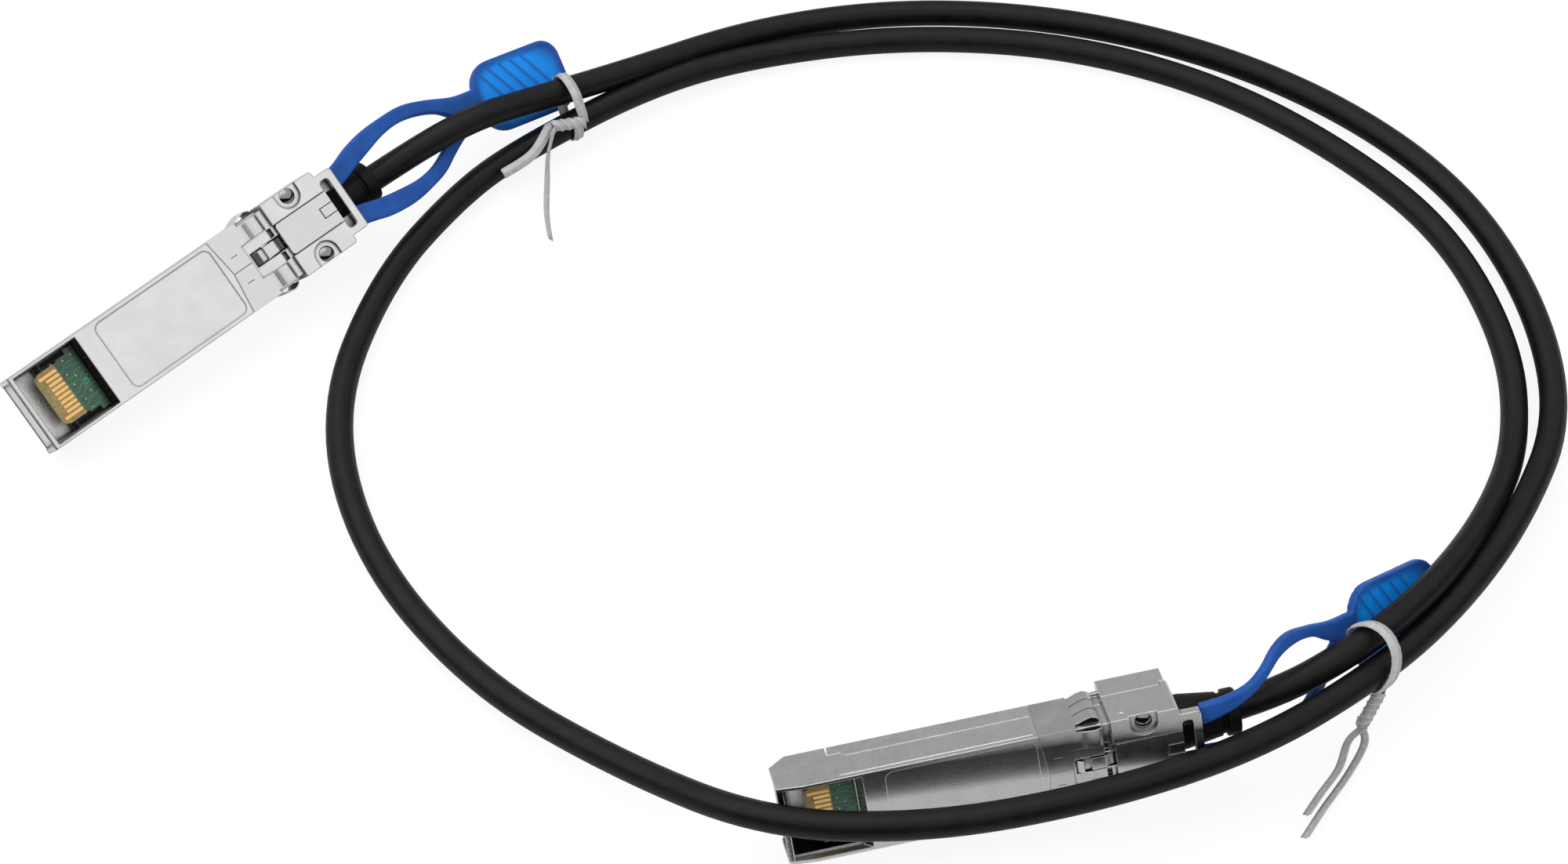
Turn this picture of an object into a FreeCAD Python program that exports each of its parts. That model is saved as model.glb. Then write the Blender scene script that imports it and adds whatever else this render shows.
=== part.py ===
"""Direct attach copper cable: two pluggable transceiver heads on one twinax cable.

Every plug sub-part is drawn in the plug's own axes: x runs from the nose back
along the plug, y runs across it, and z runs from the plain back face up to the
latch face.  Both plugs share these functions and are placed at the end.
"""
import FreeCAD
import Part
import math
import os

V = FreeCAD.Vector

# ---- sizes of the pluggable module ------------------------------------------
BODY_WIDTH = 13.4
BODY_HEIGHT = 8.5
BODY_LENGTH = 49.6          # nose to the step where the head begins
WALL = 0.8
TOP_PLATE = 1.0
SEAM_GAP = 0.1

HEAD_LENGTH = 10.1
HEAD_OVERHANG = 0.15        # the head stands out this far beyond each flank
HEAD_TOP = 8.85
HEAD_BOTTOM = -2.3
EAR_LENGTH = 3.1
EAR_INSET = 1.2             # each side, from the head's flank
EAR_THICK = 1.2

MOUTH_LIP_END = 2.2         # the mouth's raised lower lip runs back to here
MOUTH_LIP_TOP = 2.0
WINDOW_START = 1.5
WINDOW_END = 13.1
WINDOW_FRAME = 0.5          # metal left on each side of the window

# ---- shielding collar -------------------------------------------------------
COLLAR_SHEET = 0.2
COLLAR_SEAT = 0.22
COLLAR_LENGTH = 9.3
COLLAR_BAND = 5.6           # the plain band in front of the fingers
GROOVE_WIDTH = 1.3          # between the collar and the head
SIDE_BULGE = 0.85
FACE_BULGE = 0.5
BACK_BULGE = 0.6

# ---- circuit board ----------------------------------------------------------
BOARD_THICK = 1.0
BOARD_BOTTOM = 5.25
BOARD_FRONT = 4.4
BOARD_END_GAP = 3.3         # behind the board, to the end of the cavity
BOARD_SIDE_GAP = 0.3
TONGUE_WIDTH = 9.2
PAD_COUNT = 10
PAD_PITCH = 0.8
PAD_WIDTH = 0.5
PAD_THICK = 0.05

# ---- release slide and latch ------------------------------------------------
TRAVEL = 1.5
LATCH_REACH = 4.6           # head back to the locking face of the latch boss
SLIDE_WIDTH = 5.6
SLIDE_GAP = 0.15            # all round the sliding plate
SLIDE_BOTTOM = 8.05
SLIDE_TOP = 8.8
ROCKER_WIDTH = 2.0
ROCKER_GAP = 0.25           # each side of the rocker in its slot
PIVOT_INSET = 1.9           # behind the head's front
PIVOT_Z = 7.2
PIVOT_RADIUS = 0.35
PIVOT_GAP = 0.03
PIVOT_LENGTH = 3.1
SPRING_Y = 2.2
SPRING_Z = 7.4
SPRING_RADIUS = 0.45
SPRING_WIRE = 0.1
SPRING_TURNS = 5
SPRING_INSET = 0.95         # behind the head's front
SPRING_LENGTH = 3.25

# ---- screws -----------------------------------------------------------------
SCREW_INSET = 4.8           # behind the head's front
SCREW_EDGE = 1.25           # in from the head's flank
SCREW_HEAD_RADIUS = 1.25
SCREW_SHANK_RADIUS = 0.65
SCREW_GAP = 0.05
COUNTERBORE_RADIUS = 2.1
COUNTERBORE_DEPTH = 0.5

# ---- cable, boot and crimp --------------------------------------------------
CABLE_DIAMETER = 4.4
CABLE_Z = 2.4               # height of the cable's axis in the plug
CABLE_INSET = 6.4           # the jacket ends this far behind the head's front
JACKET_GAP = 0.05
FERRULE_WALL = 0.7
BORE_GAP = 0.1
BOOT_SPIGOT = 1.1           # how far the boot goes into the head
BOOT_LENGTH = 10.6
WIRE_RADIUS = 0.45
WIRE_PITCH = 1.1

# ---- pull tab ---------------------------------------------------------------
TAB_CLEAR = 0.1             # between the ear and the tab
TAB_THICK = 1.5
TAB_Z = 6.75                # mid-thickness of the tab where it leaves the slide
GRIP_LENGTH = 17.6
GRIP_WIDTH = 12.2
GRIP_CORNER = 3.2
GRIP_RIM = 0.95
GRIP_RECESS = 0.35
STRAP_SWAY = 1.35           # over 1 bends the strap into a deeper S
RIB_COUNT = 5
RIB_WIDTH = 0.6
RIB_SLANT = 0.28            # the ribs lean this much off square

# ---- twist ties -------------------------------------------------------------
TIE_WIDTH = 1.9
TIE_THICK = 0.4
TIE_GAP = 0.35

# ---- places that follow from the sizes --------------------------------------
HALF_BODY = BODY_WIDTH / 2
HALF_HEAD = HALF_BODY + HEAD_OVERHANG
HALF_EAR = HALF_HEAD - EAR_INSET
HALF_WINDOW = HALF_BODY - WINDOW_FRAME
HALF_CAVITY = HALF_BODY - WALL
HALF_BOARD = HALF_CAVITY - BOARD_SIDE_GAP
HALF_TONGUE = TONGUE_WIDTH / 2
HEAD_START = BODY_LENGTH
HEAD_END = HEAD_START + HEAD_LENGTH
EAR_END = HEAD_END + EAR_LENGTH
EAR_BOTTOM = HEAD_TOP - EAR_THICK
COLLAR_REAR = HEAD_START - GROOVE_WIDTH
COLLAR_FRONT = COLLAR_REAR - COLLAR_LENGTH
COLLAR_BAND_END = COLLAR_FRONT + COLLAR_BAND
CAVITY_END = COLLAR_REAR
BOARD_REAR = CAVITY_END - BOARD_END_GAP
LATCH_SHOULDER = HEAD_START - LATCH_REACH
LATCH_NOSE = LATCH_SHOULDER - 1.05
PIVOT_X = HEAD_START + PIVOT_INSET
SPRING_START = HEAD_START + SPRING_INSET
SPRING_END = SPRING_START + SPRING_LENGTH
SCREW_X = HEAD_START + SCREW_INSET
SCREW_Y = HALF_HEAD - SCREW_EDGE
CABLE_START = HEAD_START + CABLE_INSET
BOOT_START = HEAD_END - BOOT_SPIGOT
BOOT_END = BOOT_START + BOOT_LENGTH
TAB_START = EAR_END + TAB_CLEAR
CAVITY_TOP = BODY_HEIGHT - TOP_PLATE
CABLE_RADIUS = CABLE_DIAMETER / 2
FERRULE_INNER = CABLE_RADIUS + JACKET_GAP
FERRULE_OUTER = FERRULE_INNER + FERRULE_WALL
BORE_RADIUS = FERRULE_OUTER + BORE_GAP
HALF_SLIDE = SLIDE_WIDTH / 2
HALF_SLOT = HALF_SLIDE + SLIDE_GAP
HALF_ROCKER = ROCKER_WIDTH / 2
HALF_ROCKER_SLOT = HALF_ROCKER + ROCKER_GAP

# ---- where each plug lies ---------------------------------------------------
PLUG_A_NOSE = V(-108.5, 1.4, 3.9)
PLUG_A_TURN = FreeCAD.Rotation(41.51, -2.75, 36.74)
PLUG_B_NOSE = V(10.2, -67.2, 5.75)
PLUG_B_TURN = FreeCAD.Rotation(11.05, -4.48, 63.09)

# Where each pull tab's soft strap leaves its grip, in the plug's axes.
GRIP_A = FreeCAD.Placement(V(30.2, 0.1, -6.3), FreeCAD.Rotation(-12, 11, 0))
GRIP_B = FreeCAD.Placement(V(27.6, 1.8, -15.9), FreeCAD.Rotation(-9, 31, -20))

# Turning points of the cable between the two plugs.
ROUTE = [
    (-40.0, 55.9, 12.8), (-29.5, 63.6, 8.8), (-15.5, 71.0, 6.6), (8.0, 84.8, 2.6),
    (34.0, 89.4, 2.2), (62.0, 87.0, 2.2), (88.0, 78.3, 2.2), (109.5, 64.8, 2.2),
    (125.2, 47.6, 2.2), (133.8, 25.5, 2.2), (134.8, 2.5, 3.4), (125.6, -18.0, 6.8),
    (114.6, -34.4, 9.6), (101.0, -49.0, 12.4), (80.5, -63.5, 14.4), (57.0, -71.8, 14.2),
    (33.0, -76.4, 13.6), (9.5, -76.2, 14.2), (-12.0, -61.8, 5.6), (-34.5, -45.5, 2.2),
    (-52.8, -22.5, 2.2), (-60.2, 4.5, 2.2), (-53.4, 31.0, 2.2), (-41.5, 48.5, 2.8),
    (-31.5, 57.2, 3.6), (-11.0, 70.4, 4.6), (7.0, 79.2, 2.2), (33.0, 83.3, 2.2),
    (61.0, 81.2, 2.2), (86.0, 71.9, 2.2), (106.0, 57.3, 2.2), (121.2, 40.2, 2.2),
    (128.6, 17.5, 2.2), (127.5, -1.8, 2.7), (120.8, -17.8, 6.6), (110.7, -33.4, 12.2),
    (98.2, -46.2, 15.0),
]
LEAD_OUT = BOOT_END + 2.8   # the cable runs straight along each plug to here
TIE_1_RUNS = (4, 27)        # the two strands held: runs counted from plug A
TIE_2_BENDS = (15, 38)      # the two strands held: bends counted from plug A


# ---- shared drawing helpers -------------------------------------------------
def block(x0, x1, y0, y1, z0, z1):
    """A box between two corners."""
    return Part.makeBox(x1 - x0, y1 - y0, z1 - z0, V(x0, y0, z0))


def centred(x0, x1, half_width, z0, z1):
    """A box centred across the plug."""
    return block(x0, x1, -half_width, half_width, z0, z1)


def side_prism(points, y0, y1):
    """A side view outline (x, z) carried across the plug from y0 to y1."""
    corners = [V(x, y0, z) for x, z in points]
    face = Part.Face(Part.makePolygon(corners + corners[:1]))
    return face.extrude(V(0, y1 - y0, 0))


def top_prism(points, z0, z1):
    """A top view outline (x, y) carried up from z0 to z1."""
    corners = [V(x, y, z0) for x, y in points]
    face = Part.Face(Part.makePolygon(corners + corners[:1]))
    return face.extrude(V(0, 0, z1 - z0))


def rounded_block(x0, x1, half_width, z0, z1, radius):
    """A centred box whose four upright edges are rounded."""
    solid = centred(x0, x1, half_width, z0, z1)
    upright = [e for e in solid.Edges if abs(e.tangentAt(e.FirstParameter).z) > 0.9]
    return solid.makeFillet(radius, upright)


def post(x, y, z0, z1, radius):
    """An upright cylinder."""
    return Part.makeCylinder(radius, z1 - z0, V(x, y, z0))


def rod(x0, x1, y, z, radius):
    """A cylinder along the plug."""
    return Part.makeCylinder(radius, x1 - x0, V(x0, y, z), V(1, 0, 0))


def both_sides(solid):
    """A solid and its mirror image across the plug's middle plane."""
    return [solid, solid.mirror(V(0, 0, 0), V(0, 1, 0))]


# ---- casting ----------------------------------------------------------------
def casing_outside():
    """Both halves of the casting as one block, before any pocket."""
    body = side_prism(
        [(0.3, 2.2), (2.8, 0), (BODY_LENGTH, 0), (BODY_LENGTH, BODY_HEIGHT),
         (4.6, BODY_HEIGHT), (0.9, 7.95), (0.6, 7.8)],
        -HALF_BODY, HALF_BODY)
    head = centred(BODY_LENGTH, HEAD_END, HALF_HEAD, HEAD_BOTTOM, HEAD_TOP)
    corners = [e for e in head.Edges
               if abs(e.tangentAt(e.FirstParameter).z) > 0.9
               and e.BoundBox.XMin > BODY_LENGTH + 1]
    head = head.makeFillet(0.6, corners)
    head = head.cut(centred(HEAD_END - 0.45, HEAD_END + 1, HALF_HEAD + 1, -3, 1.1))
    ear = rounded_block(HEAD_END - 1, EAR_END, HALF_EAR, EAR_BOTTOM, HEAD_TOP, 0.6)
    return body.multiFuse([head, ear]).removeSplitter()


def nose_pockets():
    """The open mouth, the contact window and the long cavity behind them."""
    mouth = centred(-1, MOUTH_LIP_END + 0.1, HALF_CAVITY, MOUTH_LIP_TOP, CAVITY_TOP)
    cavity = centred(MOUTH_LIP_END, CAVITY_END, HALF_CAVITY, WALL, CAVITY_TOP)
    window = side_prism(
        [(WINDOW_START, 7.0), (WINDOW_END - 1.4, 7.0), (WINDOW_END - 1.4, 7.4),
         (WINDOW_END, BODY_HEIGHT), (WINDOW_END, 9.5), (WINDOW_START, 9.5)],
        -HALF_WINDOW, HALF_WINDOW)
    lip_line = centred(0.5, 0.62, HALF_BODY - 0.5, 7.7, 9)
    return [mouth, cavity, window, lip_line]


def label_pocket():
    """The shallow place for a label on the latch face, left bare."""
    floor = BODY_HEIGHT - 0.1
    return rounded_block(WINDOW_END + 3.2, COLLAR_FRONT - 0.4, HALF_BODY - 0.7, floor,
                         BODY_HEIGHT + 1, 1.3)


def collar_seat():
    """The step that sinks the shielding collar flush into the casting."""
    outer = centred(COLLAR_FRONT, COLLAR_REAR, HALF_BODY + 1, -1, BODY_HEIGHT + 1)
    inner = centred(COLLAR_FRONT, COLLAR_REAR, HALF_BODY - COLLAR_SEAT,
                    COLLAR_SEAT, BODY_HEIGHT - COLLAR_SEAT)
    spare = collar_nose_wedges(BODY_HEIGHT - COLLAR_SEAT, BODY_HEIGHT + 1)
    return outer.cut(inner.fuse(spare))


def collar_nose_wedges(z0, z1):
    """What the collar's swept front edge leaves uncovered on the latch face."""
    return top_prism([(COLLAR_FRONT - 1, -HALF_BODY - 1), (COLLAR_FRONT, -HALF_BODY),
                      (COLLAR_FRONT + 0.9, 0), (COLLAR_FRONT, HALF_BODY),
                      (COLLAR_FRONT - 1, HALF_BODY + 1)], z0, z1)


def rear_groove():
    """The dark groove between the collar and the head."""
    outer = centred(COLLAR_REAR, BODY_LENGTH, HALF_BODY + 1, 0.6, BODY_HEIGHT + 1)
    inner = centred(COLLAR_REAR, BODY_LENGTH, HALF_BODY - 0.5, 0.6, BODY_HEIGHT - 0.5)
    return outer.cut(inner)


def latch_pockets():
    """Slots and pockets for the rocker, the release slide and its spring."""
    rocker_slot = centred(LATCH_NOSE - 0.1, HEAD_END - 0.7, HALF_ROCKER_SLOT,
                          6.15, SLIDE_BOTTOM + 0.05)
    mouth = centred(LATCH_NOSE - 0.1, HEAD_START + 0.1, HALF_ROCKER_SLOT, 7.0, BODY_HEIGHT + 1)
    plate_channel = centred(HEAD_START - 0.2, HEAD_END + 0.3, HALF_SLOT,
                            SLIDE_BOTTOM - 0.05, HEAD_TOP + 1)
    web = centred(HEAD_END - 0.7, HEAD_END + 0.3, HALF_SLOT, 6.2, SLIDE_BOTTOM)
    bar = centred(HEAD_END - 1.8, HEAD_END + 1, 5.3, 6.2, 7.2)
    spring_pocket = block(SPRING_START - 0.8, SPRING_END + 0.15, SPRING_Y - 0.6, SPRING_Y + 0.6,
                          SPRING_Z - 0.6, SLIDE_BOTTOM + 0.1)
    pivot = Part.makeCylinder(PIVOT_RADIUS + PIVOT_GAP, PIVOT_LENGTH + 0.1,
                              V(PIVOT_X, -PIVOT_LENGTH / 2 - 0.05, PIVOT_Z), V(0, 1, 0))
    return [rocker_slot, mouth, plate_channel, web, bar, spring_pocket, pivot]


def slot_under_ear():
    """The T slot that lets the slide's upright wall travel back."""
    start = HEAD_END + 0.2
    return rounded_block(start, start + 1.65, 4.45, EAR_BOTTOM - 0.5, HEAD_TOP + 1, 0.6)


def screw_pockets():
    """U shaped counterbores open to the sides, with a clear hole in each."""
    floor = HEAD_TOP - COUNTERBORE_DEPTH
    bore = post(SCREW_X, SCREW_Y, floor, HEAD_TOP + 1, COUNTERBORE_RADIUS)
    mouth = block(SCREW_X - COUNTERBORE_RADIUS, SCREW_X + COUNTERBORE_RADIUS,
                  SCREW_Y, HALF_HEAD + 1, floor, HEAD_TOP + 1)
    hole = post(SCREW_X, SCREW_Y, -1.0, floor + 0.1, SCREW_SHANK_RADIUS + SCREW_GAP)
    return both_sides(bore.fuse(mouth)) + both_sides(hole)


def cable_bore():
    """The round passage that grips the crimp and the boot's spigot."""
    return rod(CAVITY_END - 0.5, HEAD_END + 1, 0, CABLE_Z, BORE_RADIUS)


def vent_holes():
    """Two blind holes behind the collar on the latch face."""
    return both_sides(block(COLLAR_REAR + 0.05, HEAD_START - 0.5, 1.45, 2.9, 7.2, BODY_HEIGHT))


def side_marks():
    """The edge line along each flank and the dimple beside each screw."""
    line = block(10.0, COLLAR_FRONT - 0.6, HALF_BODY - 0.08, HALF_BODY + 1, 7.58, 7.72)
    dimple = Part.makeCylinder(0.45, 1.0, V(PIVOT_X, HALF_HEAD - 0.2, 7.4), V(0, 1, 0))
    return both_sides(line) + both_sides(dimple)


def casing():
    """Both halves of the casting with every pocket, before the split."""
    pockets = nose_pockets() + [label_pocket(), collar_seat(), rear_groove()]
    pockets += latch_pockets() + [slot_under_ear(), cable_bore()]
    pockets += screw_pockets() + vent_holes() + side_marks()
    back_recess = centred(HEAD_START + 1.4, HEAD_START + 6.0, HALF_HEAD - 0.85,
                          HEAD_BOTTOM - 1, HEAD_BOTTOM + 0.1)
    solid = casing_outside()
    for pocket in pockets + [back_recess]:
        solid = solid.cut(pocket)
    return solid


def seam(gap):
    """The stepped region of the cover, grown by gap on the side of the base."""
    front, rear, end = (place + gap for place in (HEAD_START - 0.2, HEAD_END - 1.25, HEAD_END - 0.45))
    return side_prism(
        [(9.16 - gap * 5.4, -3), (9.0 - gap * 0.8, 2.05 + gap), (10.9 - gap * 0.4, 2.05 + gap),
         (11.6 - gap * 0.4, 2.9 + gap), (front, 2.9 + gap), (front, 1.95 + gap),
         (rear, 1.95 + gap), (rear, 1.05 + gap), (end, 1.05 + gap), (end, -3)],
        -HALF_HEAD - 1, HALF_HEAD + 1)


def board_rails():
    """Ledges inside the base that carry the board."""
    edge = HALF_TONGUE + 0.2
    front = block(6.3, 8.7, edge, HALF_CAVITY, WALL, BOARD_BOTTOM - 0.05)
    long = block(8.7, BOARD_REAR - 1.0, edge, HALF_CAVITY, 4.2, BOARD_BOTTOM - 0.05)
    step = block(5.8, 6.3, HALF_TONGUE - 0.6, HALF_CAVITY, WALL, 2.2)
    return both_sides(front.fuse(long).fuse(step))


def base(full):
    """The main half of the casting: nose, latch face and head top."""
    solid = full.cut(seam(SEAM_GAP))
    for rail in board_rails():
        solid = solid.fuse(rail)
    return solid.removeSplitter()


def cover(full):
    """The plain back half of the casting."""
    return full.common(seam(0)).removeSplitter()


# ---- circuit board ----------------------------------------------------------
def board():
    """The edge connector board: a narrow tongue widening behind the rails."""
    neck = HALF_TONGUE + 0.25
    half = [(BOARD_FRONT, HALF_TONGUE - 0.5), (BOARD_FRONT + 0.9, HALF_TONGUE), (8.9, HALF_TONGUE),
            (8.9, neck), (10.7, neck), (10.7, HALF_BOARD), (BOARD_REAR, HALF_BOARD)]
    mirrored = [(x, -y) for x, y in reversed(half)]
    return top_prism(half + mirrored, BOARD_BOTTOM, BOARD_BOTTOM + BOARD_THICK)


def contact_pad(y, x0, z0):
    """One gold finger with a pointed rear end."""
    half = PAD_WIDTH / 2
    return top_prism([(x0, y - half), (8.0, y - half), (8.25, y), (8.0, y + half),
                      (x0, y + half)], z0, z0 + PAD_THICK)


def contacts():
    """Gold fingers on both faces of the board's tongue."""
    pads = []
    for index in range(PAD_COUNT):
        y = (index - (PAD_COUNT - 1) / 2) * PAD_PITCH
        x0 = 4.9 if index in (0, PAD_COUNT - 1) else 5.75
        pads.append(contact_pad(y, x0, BOARD_BOTTOM + BOARD_THICK))
        pads.append(contact_pad(y, x0, BOARD_BOTTOM - PAD_THICK))
    return Part.makeCompound(pads)


def chip():
    """The small memory chip that identifies the cable, with eight legs."""
    top = BOARD_BOTTOM + BOARD_THICK
    body = centred(19.0, 22.0, 1.5, top + 0.08, top + 0.9)
    legs = []
    for index in range(4):
        x = 19.35 + index * 0.65
        legs += both_sides(block(x, x + 0.28, 1.3, 2.1, top, top + 0.2))
    return body.multiFuse(legs)


# ---- shielding collar -------------------------------------------------------
def finger_profile(bulge):
    """Side view of one sprung finger as (distance back, height above the face)."""
    side = [(4.0, 0), (3.4, 0.1), (2.2, 0.72), (1.2, 1), (0.5, 0.72), (0.05, 0.2)]
    return [(COLLAR_REAR - back, bulge * share) for back, share in side]


def finger(bulge):
    """One finger on the face z = 0 of its own sketch plane, one unit wide."""
    outer = finger_profile(bulge)
    inner = [(x, z - COLLAR_SHEET) for x, z in reversed(outer)]
    return outer + inner


def face_fingers(bands, bulge, on_top):
    """Fingers on the latch face or the back face."""
    made = []
    for y0, y1 in bands:
        if on_top:
            points = [(x, BODY_HEIGHT + z) for x, z in finger(bulge)]
        else:
            points = [(x, -z) for x, z in finger(bulge)]
        made.append(side_prism(points, y0, y1))
    return made


def side_fingers(bands, bulge):
    """Fingers on one flank, mirrored to the other."""
    made = []
    for z0, z1 in bands:
        points = [(x, HALF_BODY + y) for x, y in finger(bulge)]
        made += both_sides(top_prism(points, z0, z1))
    return made


def collar():
    """The sprung shielding collar: a folded band with fingers at its rear."""
    outer = centred(COLLAR_FRONT + 0.05, COLLAR_BAND_END, HALF_BODY, 0, BODY_HEIGHT)
    inner = centred(COLLAR_FRONT - 1, COLLAR_BAND_END + 1, HALF_BODY - COLLAR_SHEET,
                    COLLAR_SHEET, BODY_HEIGHT - COLLAR_SHEET)
    band = outer.cut(inner)
    band = band.cut(collar_nose_wedges(BODY_HEIGHT - 0.5, BODY_HEIGHT + 1).translated(V(0.05, 0, 0)))
    notch = COLLAR_FRONT + 4.4
    band = band.cut(centred(notch, HEAD_START + 0.4, 3.1, 7.5, 9.5))
    band = band.cut(centred(COLLAR_FRONT, notch + 0.1, 0.05, 7.5, 9.5))
    for lance in both_sides(block(COLLAR_FRONT + 1.9, COLLAR_FRONT + 3.1, 2.35, 2.45, 7.5, 9.5)):
        band = band.cut(lance)
    corner = HALF_BODY - 0.5
    fingers = face_fingers([(3.2, corner - 0.1), (0.1 - corner, -3.2)], FACE_BULGE, True)
    fingers += face_fingers([(-corner, -3.2), (-3.0, -0.1), (0.1, 3.0), (3.2, corner)], BACK_BULGE, False)
    fingers += side_fingers([(0.5, 2.5), (2.75, 4.95), (5.2, 7.4)], SIDE_BULGE)
    return band.multiFuse(fingers)


# ---- latch, slide and spring ------------------------------------------------
def latch():
    """The rocker: a locking boss in front of its pivot and a tail behind it."""
    boss = [(LATCH_NOSE, 8.1), (LATCH_SHOULDER, 8.95), (LATCH_SHOULDER, 7.9),
            (LATCH_SHOULDER + 1.0, 7.9), (LATCH_SHOULDER + 1.2, 8.4)]
    crank = [(HEAD_START + x, z) for x, z in ((-1.4, 8.4), (-0.6, 7.85), (0.2, 7.6))]
    tail_end = [(PIVOT_X + x, z) for x, z in
                ((4.1, 7.6), (4.1, 6.85), (3.5, 6.85), (3.2, 7.15), (0.7, 7.1), (0.4, 6.5),
                 (-0.4, 6.5), (-0.8, 7.0))]
    nose = [(LATCH_SHOULDER + 1.0, 7.25), (LATCH_NOSE, 7.45)]
    arm = side_prism(boss + crank + tail_end + nose, -HALF_ROCKER, HALF_ROCKER)
    hole = Part.makeCylinder(PIVOT_RADIUS + PIVOT_GAP, ROCKER_WIDTH + 1,
                             V(PIVOT_X, -HALF_ROCKER - 0.5, PIVOT_Z), V(0, 1, 0))
    return arm.cut(hole)


def pivot_pin():
    """The cross pin the rocker turns on."""
    return Part.makeCylinder(PIVOT_RADIUS, PIVOT_LENGTH,
                             V(PIVOT_X, -PIVOT_LENGTH / 2, PIVOT_Z), V(0, 1, 0))


def slide():
    """The release slide: plate, wall, crossbar, lifting ramp and two arms."""
    front_x = HEAD_START + 0.2
    rear_x = HEAD_END + 0.2
    plate = centred(front_x, rear_x, HALF_SLIDE, SLIDE_BOTTOM, SLIDE_TOP)
    front = [e for e in plate.Edges
             if abs(e.tangentAt(e.FirstParameter).z) > 0.9 and e.BoundBox.XMax < front_x + 0.2]
    plate = plate.makeFillet(0.5, front)
    web = centred(HEAD_END - 0.5, rear_x, HALF_SLIDE, 6.4, SLIDE_TOP)
    bar = centred(HEAD_END - 1.5, rear_x, 5.1, 6.35, 7.05)
    lift = PIVOT_X + 2.1
    ramp = side_prism([(lift, 6.35), (lift, 6.8), (lift + 0.4, 7.05), (lift + 1.8, 6.7),
                       (HEAD_END - 1.3, 6.7), (HEAD_END - 1.3, 6.35)], -HALF_ROCKER, HALF_ROCKER)
    hook = block(SPRING_START - 0.65, SPRING_START - 0.15, SPRING_Y - 0.5, SPRING_Y + 0.5,
                 6.9, SLIDE_BOTTOM + 0.1)
    arms = both_sides(block(HEAD_END, TAB_START + 1.7, 2.5, 4.9, 6.5, 7.0))
    solid = plate.multiFuse([web, bar, ramp, hook] + arms)
    thumb = HEAD_END - 2.3
    for slit in both_sides(block(thumb, HEAD_END + 0.8, 0.8, 0.95, 8.3, 9.5)):
        solid = solid.cut(slit)
    return solid.cut(block(thumb, thumb + 0.15, -0.95, 0.95, 8.3, 9.5)).removeSplitter()


def spring():
    """The coil that returns the slide, between its hook and the casting."""
    steps = SPRING_TURNS * 8
    stations = []
    for step in range(steps + 1):
        turn = 2 * math.pi * step / 8
        spoke = V(0, math.cos(turn), math.sin(turn))
        along = SPRING_START + (SPRING_END - SPRING_START) * step / steps
        point = V(along, SPRING_Y, SPRING_Z) + spoke * SPRING_RADIUS
        stations.append((point, V(1, 0, 0), V(0, -math.sin(turn), math.cos(turn))))
    return ribbon(stations, 2 * SPRING_WIRE, 2 * SPRING_WIRE)


def screws():
    """The two dome head screws that hold the halves together."""
    floor = HEAD_TOP - COUNTERBORE_DEPTH
    dome_radius = (SCREW_HEAD_RADIUS ** 2 + 0.5 ** 2) / (2 * 0.5)
    dome = Part.makeSphere(dome_radius, V(SCREW_X, SCREW_Y, floor + 0.6 - dome_radius))
    head = dome.common(post(SCREW_X, SCREW_Y, floor, floor + 1, SCREW_HEAD_RADIUS))
    shank = post(SCREW_X, SCREW_Y, -0.6, floor + 0.1, SCREW_SHANK_RADIUS)
    return Part.makeCompound(both_sides(head.fuse(shank)))


# ---- cable end --------------------------------------------------------------
def revolved(points):
    """An outline (distance back, radius) turned about the cable's axis."""
    corners = [V(x, 0, CABLE_Z + r) for x, r in points]
    face = Part.Face(Part.makePolygon(corners + corners[:1]))
    return face.revolve(V(0, 0, CABLE_Z), V(1, 0, 0), 360)


def boot():
    """The strain relief boot: spigot in the head, flange, taper and end ring."""
    inner = FERRULE_INNER
    spigot = BORE_RADIUS - 0.05
    flange = BORE_RADIUS + 1.05
    neck = CABLE_RADIUS + 0.8
    end = CABLE_RADIUS + 1.1
    ring = CABLE_RADIUS + 1.3
    solid = revolved([
        (BOOT_START, inner), (BOOT_START, spigot), (HEAD_END + 0.05, spigot),
        (HEAD_END + 0.05, flange), (HEAD_END + 1.3, flange), (BOOT_END - 2.8, end),
        (BOOT_END - 2.6, neck), (BOOT_END - 2.1, neck), (BOOT_END - 1.9, ring),
        (BOOT_END - 0.3, ring), (BOOT_END, end), (BOOT_END, CABLE_RADIUS + 0.4),
        (HEAD_END + 4.3, inner)])
    return solid.cut(centred(HEAD_END - 0.7, HEAD_END + 2.8, flange + 1.9, SLIDE_BOTTOM - 1.8, 8))


def ferrule():
    """The crimp ring over the cable's shield, with a flared front lip."""
    front = HEAD_START + 2.4
    rear = BOOT_START - 0.1
    return revolved([(front, FERRULE_INNER), (front, FERRULE_OUTER), (rear, FERRULE_OUTER),
                     (rear, FERRULE_INNER)])


def wires():
    """Four conductors from the cut end of the jacket to the board's underside."""
    joint_z = BOARD_BOTTOM - WIRE_RADIUS - 0.02
    made = []
    for index in range(4):
        y = (index - 1.5) * WIRE_PITCH
        path = Part.makePolygon([V(CABLE_START - 0.02, y, CABLE_Z), V(CABLE_START - 5, y, CABLE_Z),
                                 V(BOARD_REAR + 2, y, joint_z), V(BOARD_REAR - 3, y, joint_z)])
        ring = Part.makePolygon([V(CABLE_START - 0.02, y + WIRE_RADIUS * math.cos(turn * math.pi / 3),
                                   CABLE_Z + WIRE_RADIUS * math.sin(turn * math.pi / 3))
                                 for turn in range(7)])
        made.append(Part.Wire(path).makePipeShell([ring], True, True, 1))
    return Part.makeCompound(made)


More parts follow.
